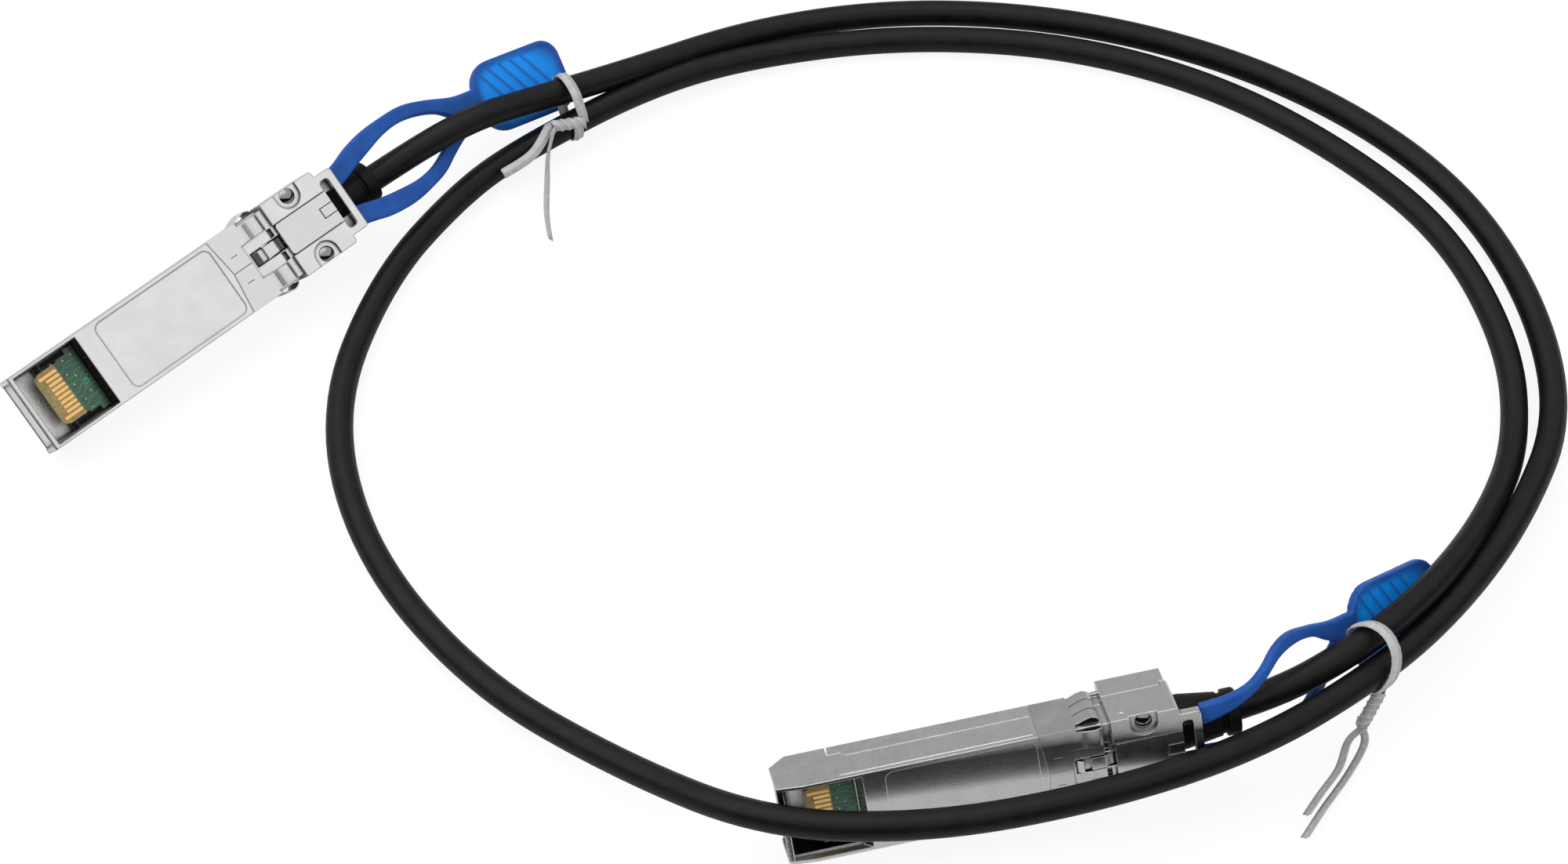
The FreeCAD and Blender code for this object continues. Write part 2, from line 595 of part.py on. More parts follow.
# ---- pull tab ---------------------------------------------------------------
def tab_frame(grip, part):
    """Point, heading, width way and face way of the strap, part of the way along."""
    root = V(TAB_START, 0, TAB_Z)
    end = root + grip.Base
    reach = grip.Base.Length * STRAP_SWAY
    leave = V(1, 0, 0) * reach
    arrive = grip.Rotation.multVec(V(1, 0, 0)) * reach
    t, t2, t3 = part, part ** 2, part ** 3
    point = root * (2 * t3 - 3 * t2 + 1) + leave * (t3 - 2 * t2 + t)
    point = point + end * (3 * t2 - 2 * t3) + arrive * (t3 - t2)
    heading = root * (6 * t2 - 6 * t) + leave * (3 * t2 - 4 * t + 1)
    heading = (heading + end * (6 * t - 6 * t2) + arrive * (3 * t2 - 2 * t)).normalize()
    across = V(0, 1, 0) * (1 - t) + grip.Rotation.multVec(V(0, 1, 0)) * t
    across = (across - heading * across.dot(heading)).normalize()
    return point, heading, across, heading.cross(across)


def tab_loft(grip, widths, thick):
    """A smooth solid through upright rectangles of the given half widths."""
    sections = []
    for part, half in widths:
        point, heading, across, face = tab_frame(grip, part)
        side = across * half
        lift = face * (thick / 2)
        corners = [point - side - lift, point + side - lift, point + side + lift, point - side + lift]
        sections.append(Part.makePolygon(corners + corners[:1]))
    return Part.makeLoft(sections, True, False)


def tab_strap(grip):
    """The forked strap from the slide to the neck at the grip."""
    outside = tab_loft(grip, [(0, 5.4), (0.2, 6.2), (0.4, 6.8), (0.58, 6.4), (0.76, 5.0),
                              (0.9, 3.6), (1.0, 3.3)], TAB_THICK)
    hole = tab_loft(grip, [(0, 1.95), (0.16, 3.6), (0.34, 4.8), (0.5, 4.8), (0.66, 3.8),
                           (0.8, 2.3), (0.92, 0.4)], TAB_THICK * 2)
    return outside.cut(hole)


def slanted(x0, x1, half, z0, z1):
    """A field between two slanting ribs."""
    lean = RIB_SLANT * half
    return top_prism([(x0 + lean, -half), (x1 + lean, -half), (x1 - lean, half), (x0 - lean, half)], z0, z1)


def tab_grip():
    """The flat grip in its own axes, with slanting ribs between sunk fields."""
    solid = rounded_block(-0.6, GRIP_LENGTH, GRIP_WIDTH / 2, -TAB_THICK / 2, TAB_THICK / 2, GRIP_CORNER)
    half = GRIP_WIDTH / 2 - GRIP_RIM
    start = GRIP_RIM + RIB_SLANT * (half - 1.0)
    pitch = (GRIP_LENGTH - 2 * start + RIB_WIDTH) / (RIB_COUNT + 1)
    for index in range(RIB_COUNT + 1):
        x0 = start + index * pitch
        x1 = x0 + pitch - RIB_WIDTH
        short = half - 1.0 if index in (0, RIB_COUNT) else half
        solid = solid.cut(slanted(x0, x1, short, TAB_THICK / 2 - GRIP_RECESS, TAB_THICK))
        solid = solid.cut(slanted(x0, x1, short, -TAB_THICK, GRIP_RECESS - TAB_THICK / 2))
    return solid


def pull_tab(grip):
    """The soft pull tab: a forked strap that twists into a ribbed flat grip."""
    flat = tab_grip()
    flat.Placement = FreeCAD.Placement(V(TAB_START, 0, TAB_Z) + grip.Base, grip.Rotation)
    tab = tab_strap(grip).fuse(flat)
    return tab.cut(slide())


# ---- cable between the plugs ------------------------------------------------
def corner_radius(before, corner, after):
    """Radius of the bend that uses up to 0.45 of the shorter run."""
    first = before - corner
    second = after - corner
    turn = math.pi - first.getAngle(second)
    return 0.45 * min(first.Length, second.Length) / math.tan(turn / 2), turn


def bend_points(before, corner, after):
    """Start, middle and end of the arc that rounds one corner."""
    radius, turn = corner_radius(before, corner, after)
    into = (before - corner).normalize()
    away = (after - corner).normalize()
    reach = radius * math.tan(turn / 2)
    bisector = (into + away).normalize()
    middle = corner + bisector * (radius / math.cos(turn / 2) - radius)
    return corner + into * reach, middle, corner + away * reach


def bent_wire(points):
    """Straight runs between the points, joined by tangent arcs."""
    edges = []
    last = points[0]
    for before, corner, after in zip(points, points[1:], points[2:]):
        start, middle, end = bend_points(before, corner, after)
        edges.append(Part.LineSegment(last, start).toShape())
        edges.append(Part.Arc(start, middle, end).toShape())
        last = end
    edges.append(Part.LineSegment(last, points[-1]).toShape())
    return Part.Wire(edges)


def cable_points():
    """Every turning point of the cable, from plug A to plug B."""
    start = placed_point(PLUG_A_NOSE, PLUG_A_TURN, CABLE_START)
    lead = placed_point(PLUG_A_NOSE, PLUG_A_TURN, LEAD_OUT)
    tail = placed_point(PLUG_B_NOSE, PLUG_B_TURN, LEAD_OUT)
    end = placed_point(PLUG_B_NOSE, PLUG_B_TURN, CABLE_START)
    return [start, lead] + [V(*p) for p in ROUTE] + [tail, end]


def placed_point(nose, turn, along):
    """A point on a plug's cable axis."""
    return nose + turn.multVec(V(along, 0, CABLE_Z))


def cable():
    """The jacketed cable as one bent tube."""
    points = cable_points()
    path = bent_wire(points)
    heading = points[1] - points[0]
    section = Part.Wire(Part.makeCircle(CABLE_RADIUS, points[0], heading))
    tube = path.makePipeShell([section], True, False)
    radii = [round(corner_radius(a, b, c)[0]) for a, b, c in zip(points, points[1:], points[2:])]
    print("cable bend radii, mm:", sorted(radii)[:8], "length, mm:", round(path.Length, 1))
    ideal = math.pi * CABLE_RADIUS ** 2 * path.Length
    print("cable volume over section times length:", round(tube.Volume / ideal, 4))
    return tube


# ---- twist ties -------------------------------------------------------------
def ribbon(stations, width, thick):
    """A flat ribbon through stations of a point, its width way and its heading."""
    sections = []
    for point, across, heading in stations:
        lift = heading.cross(across).normalize() * (thick / 2)
        side = lift.cross(heading).normalize() * (width / 2)
        corners = [point - side - lift, point + side - lift, point + side + lift, point - side + lift]
        sections.append(Part.makePolygon(corners + corners[:1]))
    return Part.makeLoft(sections, True, True)


def tie_ring(first, second, along):
    """A band drawn tight around two strands that run the same way."""
    across = (second - first).normalize()
    up = along.cross(across).normalize()
    bands = []
    for grow in (CABLE_RADIUS + TIE_GAP + TIE_THICK, CABLE_RADIUS + TIE_GAP):
        edges = [
            Part.LineSegment(first + up * grow, second + up * grow).toShape(),
            Part.Arc(second + up * grow, second + across * grow, second - up * grow).toShape(),
            Part.LineSegment(second - up * grow, first - up * grow).toShape(),
            Part.Arc(first - up * grow, first - across * grow, first + up * grow).toShape()]
        face = Part.Face(Part.Wire(edges))
        face.translate(along * (-TIE_WIDTH / 2))
        bands.append(face.extrude(along * TIE_WIDTH))
    return bands[0].cut(bands[1])


def squared(first, second, along):
    """The second point moved along the strands until it is square to the first."""
    return second - along * (second - first).dot(along)


def run_middle(points, index):
    """Middle of one straight run and its heading."""
    return (points[index - 1] + points[index]) * 0.5, (points[index] - points[index - 1]).normalize()


def bend_middle(points, index):
    """Middle of one bend and its heading."""
    before, corner, after = points[index - 1:index + 2]
    return bend_points(before, corner, after)[1], (after - before).normalize()


def tail(start, knots, across, width):
    """A loose end of a tie: a flat ribbon through the given points."""
    points = [start] + [V(*k) for k in knots]
    stations = []
    for index, point in enumerate(points):
        ahead = points[min(index + 1, len(points) - 1)]
        behind = points[max(index - 1, 0)]
        stations.append((point, across, (ahead - behind).normalize()))
    return ribbon(stations, width, TIE_THICK * 1.2)


def twisted_stem(start, end, turns):
    """The twisted part of a tie between its ring and its loose ends."""
    heading = (end - start).normalize()
    side = heading.cross(V(0, 0, 1)).normalize()
    other = heading.cross(side)
    steps = max(2, int(turns * 6))
    stations = []
    first = start + (end - start) * (1 / steps)
    for step in range(1, steps + 1):
        turn = 2 * math.pi * turns * step / steps
        across = side * math.cos(turn) + other * math.sin(turn)
        stations.append((start + (end - start) * (step / steps), across, heading))
    wire = Part.makeCylinder(TIE_THICK * 0.9, (first - start).Length * 1.3, start, heading)
    return ribbon(stations, TIE_WIDTH * 0.8, TIE_THICK * 2.2).fuse(wire)


def ring_foot(first, second):
    """Where a tie leaves its ring, beyond the second strand."""
    return second + (second - first).normalize() * (CABLE_RADIUS + TIE_GAP + TIE_THICK * 0.75)


def ring_top(first, second, along):
    """Where a tie leaves its ring, on top of the second strand."""
    up = along.cross(second - first).normalize()
    if up.z < 0:
        up = up * -1
    return second + up * (CABLE_RADIUS + TIE_GAP + TIE_THICK * 0.75)


def tie_1():
    """The tie by plug A: ring, a twist on the inner strand and two flat ends."""
    points = cable_points()
    upper, along = run_middle(points, TIE_1_RUNS[0])
    lower = squared(upper, run_middle(points, TIE_1_RUNS[1])[0], along)
    ring = tie_ring(upper, lower, along)
    knot = V(-26.6, 57.2, 6.5)
    stem = twisted_stem(ring_top(upper, lower, along), knot, 0.75)
    first = tail(knot, [(-29.6, 54.0, 6.1), (-34.4, 50.0, 5.6)], V(0.55, -0.6, -0.55), 1.5)
    second = tail(knot, [(-27.2, 55.2, 4.6), (-27.4, 51.5, 1.8), (-27.3, 45.4, 0.9), (-26.5, 40.0, 0.9)],
                  V(0.95, 0.1, 0.3), 1.0)
    return ring.multiFuse([stem, first, second])


def tie_2():
    """The tie by plug B: ring, long twist and two hanging ends."""
    points = cable_points()
    upper, along = bend_middle(points, TIE_2_BENDS[1])
    lower = squared(upper, bend_middle(points, TIE_2_BENDS[0])[0], along)
    ring = tie_ring(upper, lower, along)
    knot = V(98.0, -53.9, 4.4)
    stem = twisted_stem(ring_foot(upper, lower), knot, 1.5)
    first = tail(knot, [(95.9, -56.0, 3.0), (94.2, -60.0, 1.5), (91.2, -64.0, 0.9), (88.6, -67.8, 0.9)],
                 V(0.8, -0.5, 0.3), 1.0)
    second = tail(knot, [(98.3, -56.0, 2.6), (95.7, -60.6, 1.2), (91.5, -66.6, 0.9), (88.0, -71.6, 0.9)],
                  V(0.8, -0.5, 0.3), 1.0)
    return ring.multiFuse([stem, first, second])


def placed(shape, nose, turn):
    """A plug sub-part moved from the plug's axes to where the plug lies."""
    moved = shape.copy()
    moved.Placement = FreeCAD.Placement(nose, turn).multiply(moved.Placement)
    return moved


def plug_parts(grip):
    """Every sub-part of one plug, in the plug's own axes."""
    full = casing()
    return {
        "base": base(full), "cover": cover(full), "board": board(), "contacts": contacts(),
        "chip": chip(), "collar": collar(), "latch": latch(), "pivot_pin": pivot_pin(),
        "slide": slide(), "spring": spring(), "pull_tab": pull_tab(grip),
        "screws": screws(), "boot": boot(), "ferrule": ferrule(), "wires": wires(),
    }


def write_parts():
    """Write one STEP file for each node."""
    os.makedirs("parts", exist_ok=True)
    plugs = [("plug_a", PLUG_A_NOSE, PLUG_A_TURN, GRIP_A),
             ("plug_b", PLUG_B_NOSE, PLUG_B_TURN, GRIP_B)]
    for name, nose, turn, grip in plugs:
        for part, shape in plug_parts(grip).items():
            placed(shape, nose, turn).exportStep("parts/%s_%s.step" % (name, part))
    cable().exportStep("parts/cable.step")
    tie_1().exportStep("parts/tie_1.step")
    tie_2().exportStep("parts/tie_2.step")


write_parts()
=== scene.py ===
"""A direct attach copper cable: two latching plugs, a coiled twinax cable, two ties."""
import math

import bpy
from mathutils import Euler, Matrix, Vector


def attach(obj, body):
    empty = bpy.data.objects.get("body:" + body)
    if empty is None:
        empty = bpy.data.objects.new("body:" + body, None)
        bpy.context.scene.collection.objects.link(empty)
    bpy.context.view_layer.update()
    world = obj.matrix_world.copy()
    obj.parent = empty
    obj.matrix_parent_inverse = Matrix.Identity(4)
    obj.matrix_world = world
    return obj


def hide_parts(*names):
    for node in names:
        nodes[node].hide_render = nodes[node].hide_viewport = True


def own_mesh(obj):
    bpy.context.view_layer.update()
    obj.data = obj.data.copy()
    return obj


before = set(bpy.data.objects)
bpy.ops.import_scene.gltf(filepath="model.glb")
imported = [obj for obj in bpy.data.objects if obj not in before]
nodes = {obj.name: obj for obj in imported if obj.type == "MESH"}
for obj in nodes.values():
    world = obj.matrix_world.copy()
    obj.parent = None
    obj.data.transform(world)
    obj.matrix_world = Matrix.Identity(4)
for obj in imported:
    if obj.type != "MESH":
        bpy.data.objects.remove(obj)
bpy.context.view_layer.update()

MM = 0.001
scene = bpy.context.scene

# ---- Camera -------------------------------------------------------------------
# The set is seen from in front and above, a little over half way up from the
# floor, with a short telephoto lens, so that the whole coil is in view.
camera_data = bpy.data.cameras.new("camera")
camera_data.sensor_width = 36.0
camera_data.sensor_fit = "HORIZONTAL"
camera_data.lens = 80.32
camera = bpy.data.objects.new("camera", camera_data)
camera.location = (0.012, -0.3161, 0.4552)
camera.rotation_euler = (math.radians(34.95), 0.0, 0.0)
scene.collection.objects.link(camera)
scene.camera = camera
scene.view_settings.view_transform = "Standard"


# ---- Studio: floor, cards, lamps and sky ----------------------------------------
# A white table under one wide soft lamp and a smaller one from the left. Four cards
# round it, hidden from the camera and from soft light, give gloss and metal a tone.
FLOOR_HALF = 2.0
FLOOR_GLOW = 0.5            # the share of white that the floor itself gives the camera
GLOSS_GLOW = 0.1            # and the share that it gives reflections
SHADOW_FADE = 0.72          # how much of the shadow on the white floor is let go


def linear(code):
    """An sRGB hex colour as linear red, green, blue and alpha."""
    parts = [int(code[i:i + 2], 16) / 255 for i in (1, 3, 5)]
    return [c / 12.92 if c <= 0.04045 else ((c + 0.055) / 1.055) ** 2.4 for c in parts] + [1.0]


def add_node(tree, kind, settings=None, values=None, links=None):
    """One shader node with its settings, its socket values and what feeds it."""
    node = tree.nodes.new(kind)
    for name, value in (settings or {}).items():
        setattr(node, name, value)
    for name, value in (values or {}).items():
        node.inputs[name].default_value = value
    for name, socket in (links or {}).items():
        tree.links.new(socket, node.inputs[name])
    return node


def bare_material(name):
    """A material with an empty node tree and its output."""
    material = bpy.data.materials.new(name)
    material.use_nodes = True
    material.node_tree.nodes.clear()
    return material, material.node_tree, material.node_tree.nodes.new("ShaderNodeOutputMaterial")


def ray_is(tree, *kinds):
    """1 for any of these kinds of ray, else 0."""
    path = add_node(tree, "ShaderNodeLightPath")
    found = path.outputs["Is %s Ray" % kinds[0]]
    for kind in kinds[1:]:
        found = add_node(tree, "ShaderNodeMath", {"operation": "MAXIMUM"}, None,
                         {0: found, 1: path.outputs["Is %s Ray" % kind]}).outputs[0]
    return found


def studio_sheet(name, corners, material):
    """A flat four-cornered sheet that belongs to the set."""
    mesh = bpy.data.meshes.new(name)
    mesh.from_pydata(corners, [], [(0, 1, 2, 3)])
    mesh.materials.append(material)
    sheet = bpy.data.objects.new(name, mesh)
    scene.collection.objects.link(sheet)
    return sheet


def upright_card(name, corner, side, height, colour):
    """A matt card standing on the floor, which shows in gloss."""
    low, along, up = Vector(corner), Vector(side), Vector((0, 0, height))
    material, tree, out = bare_material(name)
    shade = add_node(tree, "ShaderNodeBsdfDiffuse", None, {"Color": linear(colour)})
    tree.links.new(shade.outputs[0], out.inputs["Surface"])
    card = studio_sheet(name, [low, low + along, low + along + up, low + up], material)
    card.visible_camera = False
    card.visible_diffuse = False
    card.visible_shadow = False


# Matt white card: its own glow keeps it white to the camera, and most of the
# shadow on it is faded out, so that only a soft one is left under the cable.
floor_white, tree, out = bare_material("white_table_card")
matt = add_node(tree, "ShaderNodeBsdfDiffuse", None, {"Color": linear("#C6C6C6")})
seen = add_node(tree, "ShaderNodeMath", {"operation": "MULTIPLY"}, {1: FLOOR_GLOW},
                {0: ray_is(tree, "Camera", "Transmission")})
shown = add_node(tree, "ShaderNodeMath", {"operation": "MULTIPLY_ADD"}, {1: GLOSS_GLOW},
                 {0: ray_is(tree, "Glossy"), 2: seen.outputs[0]})
glow = add_node(tree, "ShaderNodeEmission", None, {"Color": linear("#FFFFFF")},
                {"Strength": shown.outputs[0]})
both = add_node(tree, "ShaderNodeAddShader", None, None, {0: matt.outputs[0], 1: glow.outputs[0]})
clean = add_node(tree, "ShaderNodeEmission", None, {"Color": linear("#FFFFFF"), "Strength": 1.0})
faint = add_node(tree, "ShaderNodeMath", {"operation": "MULTIPLY"}, {1: SHADOW_FADE},
                 {0: ray_is(tree, "Camera")})
surface = add_node(tree, "ShaderNodeMixShader", None, None,
                   {0: faint.outputs[0], 1: both.outputs[0], 2: clean.outputs[0]})
tree.links.new(surface.outputs[0], out.inputs["Surface"])
studio_sheet("floor", [(-FLOOR_HALF, -FLOOR_HALF, 0), (FLOOR_HALF, -FLOOR_HALF, 0),
                       (FLOOR_HALF, FLOOR_HALF, 0), (-FLOOR_HALF, FLOOR_HALF, 0)], floor_white)

# Matt card from mid grey behind to nearly black in front: a bright or a dark band in metal.
upright_card("back_card", (-0.7, 0.62, 0), (1.4, 0, 0), 0.30, "#949494")
upright_card("front_card", (-0.7, -0.32, 0), (1.4, 0, 0), 0.28, "#141414")
upright_card("left_card", (-0.75, -0.32, 0), (0, 0.94, 0), 0.34, "#303030")
upright_card("right_card", (0.75, -0.32, 0), (0, 0.94, 0), 0.34, "#303030")

# The room is plain white, and lights the object evenly from all sides.
room = bpy.data.worlds.new("studio")
scene.world = room
room.use_nodes = True
room.node_tree.nodes.clear()
white = add_node(room.node_tree, "ShaderNodeBackground", None, {"Color": linear("#FFFFFF"), "Strength": 1.0})
add_node(room.node_tree, "ShaderNodeOutputWorld", None, None, {"Surface": white.outputs[0]})


def soft_lamp(name, place, target, size, watts):
    """A square soft box aimed at a point."""
    data = bpy.data.lights.new(name, "AREA")
    data.shape = "SQUARE"
    data.size = size
    data.energy = watts
    lamp = bpy.data.objects.new(name, data)
    lamp.location = place
    lamp.rotation_euler = (Vector(target) - Vector(place)).to_track_quat("-Z", "Y").to_euler()
    scene.collection.objects.link(lamp)


soft_lamp("top_soft_box", (-0.35, 0.35, 1.3), (0, 0, 0), 1.2, 5.0)
soft_lamp("left_soft_box", (-0.9, -0.1, 0.8), (0, 0, 0), 0.7, 1.6)

# ---- Cable ----------------------------------------------------------------------
# Round twin-axial cable in a black PVC jacket, extruded over its screen, 4.4 mm
# across. It leaves plug A, goes once and a half round the coil and ends in plug B.
CABLE_DIAMETER = 4.4 * MM
CABLE_AXIS = 2.4            # height of the cable's middle in a plug
LEAD_IN = 56.0              # where its jacket starts, behind the plug's nose
LEAD_OUT = 72.0             # a second point keeps it in line with the plug as it leaves
PLUGS = {"a": ((-108.5, 1.4, 3.9), (36.74, -2.75, 41.51)),      # nose in millimetres,
         "b": ((10.2, -67.2, 5.75), (63.09, -4.48, 11.05))}     # turn in degrees
# Points from plug A to plug B, which the curve rounds off.
COIL = [
    (-40.0, 55.9, 12.8), (-29.5, 63.6, 8.8), (-15.5, 71.0, 6.6), (8.0, 84.8, 2.6),
    (34.0, 89.4, 2.2), (62.0, 87.0, 2.2), (88.0, 78.3, 2.2), (109.5, 64.8, 2.2),
    (125.2, 47.6, 2.2), (133.8, 25.5, 2.2), (134.8, 2.5, 3.4), (125.6, -18.0, 6.8),
    (114.6, -34.4, 9.6), (101.0, -49.0, 12.4), (80.5, -63.5, 14.4), (57.0, -71.8, 14.2),
    (33.0, -76.4, 13.6), (9.5, -76.2, 14.2), (-12.0, -61.8, 5.6), (-34.5, -45.5, 2.2),
    (-52.8, -22.5, 2.2), (-60.2, 4.5, 2.2), (-53.4, 31.0, 2.2), (-41.5, 48.5, 2.8),
    (-31.5, 57.2, 3.6), (-11.0, 70.4, 4.6), (7.0, 79.2, 2.2), (33.0, 83.3, 2.2),
    (61.0, 81.2, 2.2), (86.0, 71.9, 2.2), (106.0, 57.3, 2.2), (121.2, 40.2, 2.2),
    (128.6, 17.5, 2.2), (127.5, -1.8, 2.7), (120.8, -17.8, 6.6), (110.7, -33.4, 12.2),
    (98.2, -46.2, 15.0),
]


def plug_matrix(plug):
    """Where a plug lies: its own x runs back from the nose, z towards the latch."""
    nose, turn = PLUGS[plug]
    angles = Euler([math.radians(a) for a in turn])
    return Matrix.Translation(Vector(nose) * MM) @ angles.to_matrix().to_4x4()


def at_plug(plug, x, y, z):
    """A point given in a plug's own axes, in millimetres."""
    return plug_matrix(plug) @ (Vector((x, y, z)) * MM)


cable_route = [at_plug("a", LEAD_IN, 0, CABLE_AXIS), at_plug("a", LEAD_OUT, 0, CABLE_AXIS)]
cable_route += [Vector(point) * MM for point in COIL]
cable_route += [at_plug("b", LEAD_OUT, 0, CABLE_AXIS), at_plug("b", LEAD_IN, 0, CABLE_AXIS)]
cable_curve = bpy.data.curves.new("cable_jacket", "CURVE")
cable_curve.dimensions = "3D"
cable_curve.resolution_u = 10
spline = cable_curve.splines.new("NURBS")
spline.points.add(len(cable_route) - 1)
for control, place in zip(spline.points, cable_route):
    control.co = (*place, 1.0)
spline.order_u = 3
spline.use_endpoint_u = True
cable = bpy.data.objects.new("cable_jacket", cable_curve)
scene.collection.objects.link(cable)
cable_line = [v.co.copy() for v in bpy.data.meshes.new_from_object(cable).vertices]
cable_curve.bevel_depth = CABLE_DIAMETER / 2
cable_curve.bevel_resolution = 8
cable_curve.use_fill_caps = True


def shaded(name, colour, metallic, roughness, **more):
    """A material with one principled shader, and the shader to add detail to."""
    material, tree, out = bare_material(name)
    values = {"Base Color": linear(colour), "Metallic": metallic, "Roughness": roughness}
    values.update(more)
    shader = add_node(tree, "ShaderNodeBsdfPrincipled", None, values)
    tree.links.new(shader.outputs[0], out.inputs["Surface"])
    return material, tree, shader


def grain(tree, size_mm):
    """Noise whose lumps are about this many millimetres across."""
    place = add_node(tree, "ShaderNodeTexCoord").outputs["Object"]
    return add_node(tree, "ShaderNodeTexNoise", None, {"Scale": 1 / (size_mm * MM), "Detail": 2.0},
                    {"Vector": place}).outputs["Fac"]


def spread(tree, factor, low, high):
    """A factor of about 0.3 to 0.7 stretched between two values."""
    return add_node(tree, "ShaderNodeMapRange", None,
                    {"From Min": 0.3, "From Max": 0.7, "To Min": low, "To Max": high},
                    {"Value": factor}).outputs["Result"]


def blend(tree, factor, first, second):
    """A colour between two, each a hex code or a socket."""
    mix = add_node(tree, "ShaderNodeMix", {"data_type": "RGBA"}, None, {0: factor})
    for index, colour in ((6, first), (7, second)):
        if isinstance(colour, str):
            mix.inputs[index].default_value = linear(colour)
        else:
            tree.links.new(colour, mix.inputs[index])
    return mix.outputs[2]


def mottled(tree, pattern, first, second):
    """A colour that wanders between two with a pattern."""
    return blend(tree, spread(tree, pattern, 0, 1), first, second)


def roughen(tree, shader, pattern, low, high):
    """Roughness that wanders between two values with a pattern."""
    tree.links.new(spread(tree, pattern, low, high), shader.inputs["Roughness"])


def relief(tree, shader, height, depth_mm, edge_mm=0.0):
    """Bump of a real depth on the shader, over softly rounded edges if asked."""
    bump = add_node(tree, "ShaderNodeBump", None, {"Strength": 1.0, "Distance": depth_mm * MM},
                    {"Height": height})
    if edge_mm:
        edge = add_node(tree, "ShaderNodeBevel", {"samples": 4}, {"Radius": edge_mm * MM})
        tree.links.new(edge.outputs[0], bump.inputs["Normal"])
    tree.links.new(bump.outputs[0], shader.inputs["Normal"])


# Extruded PVC: nearly black and satin, with a faint ripple from the screen under it.
MATT_BLACK_GLOSS = 0.18     # carbon-filled skins are micro-rough, and show little gloss
jacket, tree, shader = shaded("pvc_jacket_extruded", "#101011", 0.0, 0.42, IOR=1.53)
shader.inputs["Specular IOR Level"].default_value = MATT_BLACK_GLOSS
tree.links.new(mottled(tree, grain(tree, 2.4), "#0B0B0C", "#121213"), shader.inputs["Base Color"])
roughen(tree, shader, grain(tree, 1.2), 0.36, 0.47)
relief(tree, shader, grain(tree, 0.35), 0.02)
cable_curve.materials.append(jacket)
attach(cable, "fixed")
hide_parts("cable")


# ---- Casting --------------------------------------------------------------------
# Each plug is two zinc die castings, base and cover, nickel plated over a fine
# blasted skin. They meet along a stepped seam and are held by two screws.
def plug_axes(tree, plug):
    """Coordinates in a plug's own axes, in millimetres, as a shader vector."""
    place = add_node(tree, "ShaderNodeTexCoord").outputs["Object"]
    nose, turn = PLUGS[plug]
    back = add_node(tree, "ShaderNodeMapping", {"vector_type": "TEXTURE"},
                    {"Location": [v * MM for v in nose], "Rotation": [math.radians(a) for a in turn],
                     "Scale": (MM, MM, MM)}, {"Vector": place})
    return back.outputs["Vector"]


def noise_mm(tree, vector, size_mm, detail=2.0):
    """Noise on coordinates that are already in millimetres."""
    return add_node(tree, "ShaderNodeTexNoise", None, {"Scale": 1 / size_mm, "Detail": detail},
                    {"Vector": vector}).outputs["Fac"]


def crevice(tree, reach_mm, open_at, shut_at):
    """1 in corners and pockets within a reach, 0 where the surface is open."""
    shade = add_node(tree, "ShaderNodeAmbientOcclusion", {"samples": 6}, {"Distance": reach_mm * MM})
    return add_node(tree, "ShaderNodeMapRange", None,
                    {"From Min": shut_at, "From Max": open_at, "To Min": 1.0, "To Max": 0.0},
                    {"Value": shade.outputs["AO"]}).outputs["Result"]


def arris(tree, radius_mm):
    """1 along edges, where a rounded surface turns from its flat face, and 0 between."""
    turned = add_node(tree, "ShaderNodeBevel", {"samples": 4}, {"Radius": radius_mm * MM})
    flat = add_node(tree, "ShaderNodeNewGeometry")
    same = add_node(tree, "ShaderNodeVectorMath", {"operation": "DOT_PRODUCT"}, None,
                    {0: turned.outputs[0], 1: flat.outputs["True Normal"]})
    return add_node(tree, "ShaderNodeMapRange", None,
                    {"From Min": 0.995, "From Max": 0.9, "To Min": 0.0, "To Max": 1.0},
                    {"Value": same.outputs["Value"]}).outputs["Result"]


CORNER = (0.6, 0.9, 0.45)   # reach in millimetres, and how open it is where the painted shade starts
POCKET = (3.0, 0.6, 0.2)    # and where it is full


def metal_tone(tree, shader, face, painted_shade_colour, edge, edge_mm, deep=False):
    """A plated metal's colour: painted shade dark in its corners and pockets, and a painted edge tone along
    its edges, a highlight on some parts and a dark reflection on others.
    """
    # Painted shade: corners and pockets, found by ambient occlusion, take the dark colour; edges take the
    # painted edge tone that each caller gives.
    tone = blend(tree, crevice(tree, *CORNER), face, painted_shade_colour)
    if deep:
        tone = blend(tree, crevice(tree, *POCKET), tone, painted_shade_colour)
    tree.links.new(blend(tree, arris(tree, edge_mm), tone, edge), shader.inputs["Base Color"])


def between(tree, value, low, high):
    """1 where a value lies between two bounds."""
    middle, half = (low + high) / 2, (high - low) / 2
    return add_node(tree, "ShaderNodeMath", {"operation": "COMPARE"}, {1: middle, 2: half},
                    {0: value}).outputs[0]


def all_of(tree, *tests):
    """1 where every test is 1."""
    found = tests[0]
    for test in tests[1:]:
        found = add_node(tree, "ShaderNodeMath", {"operation": "MULTIPLY"}, None,
                         {0: found, 1: test}).outputs[0]
    return found


def coat(plug, part, material):
    """Give one CAD part of a plug this material alone."""
    slots = nodes["plug_%s_%s" % (plug, part)].data.materials
    slots.clear()
    slots.append(material)


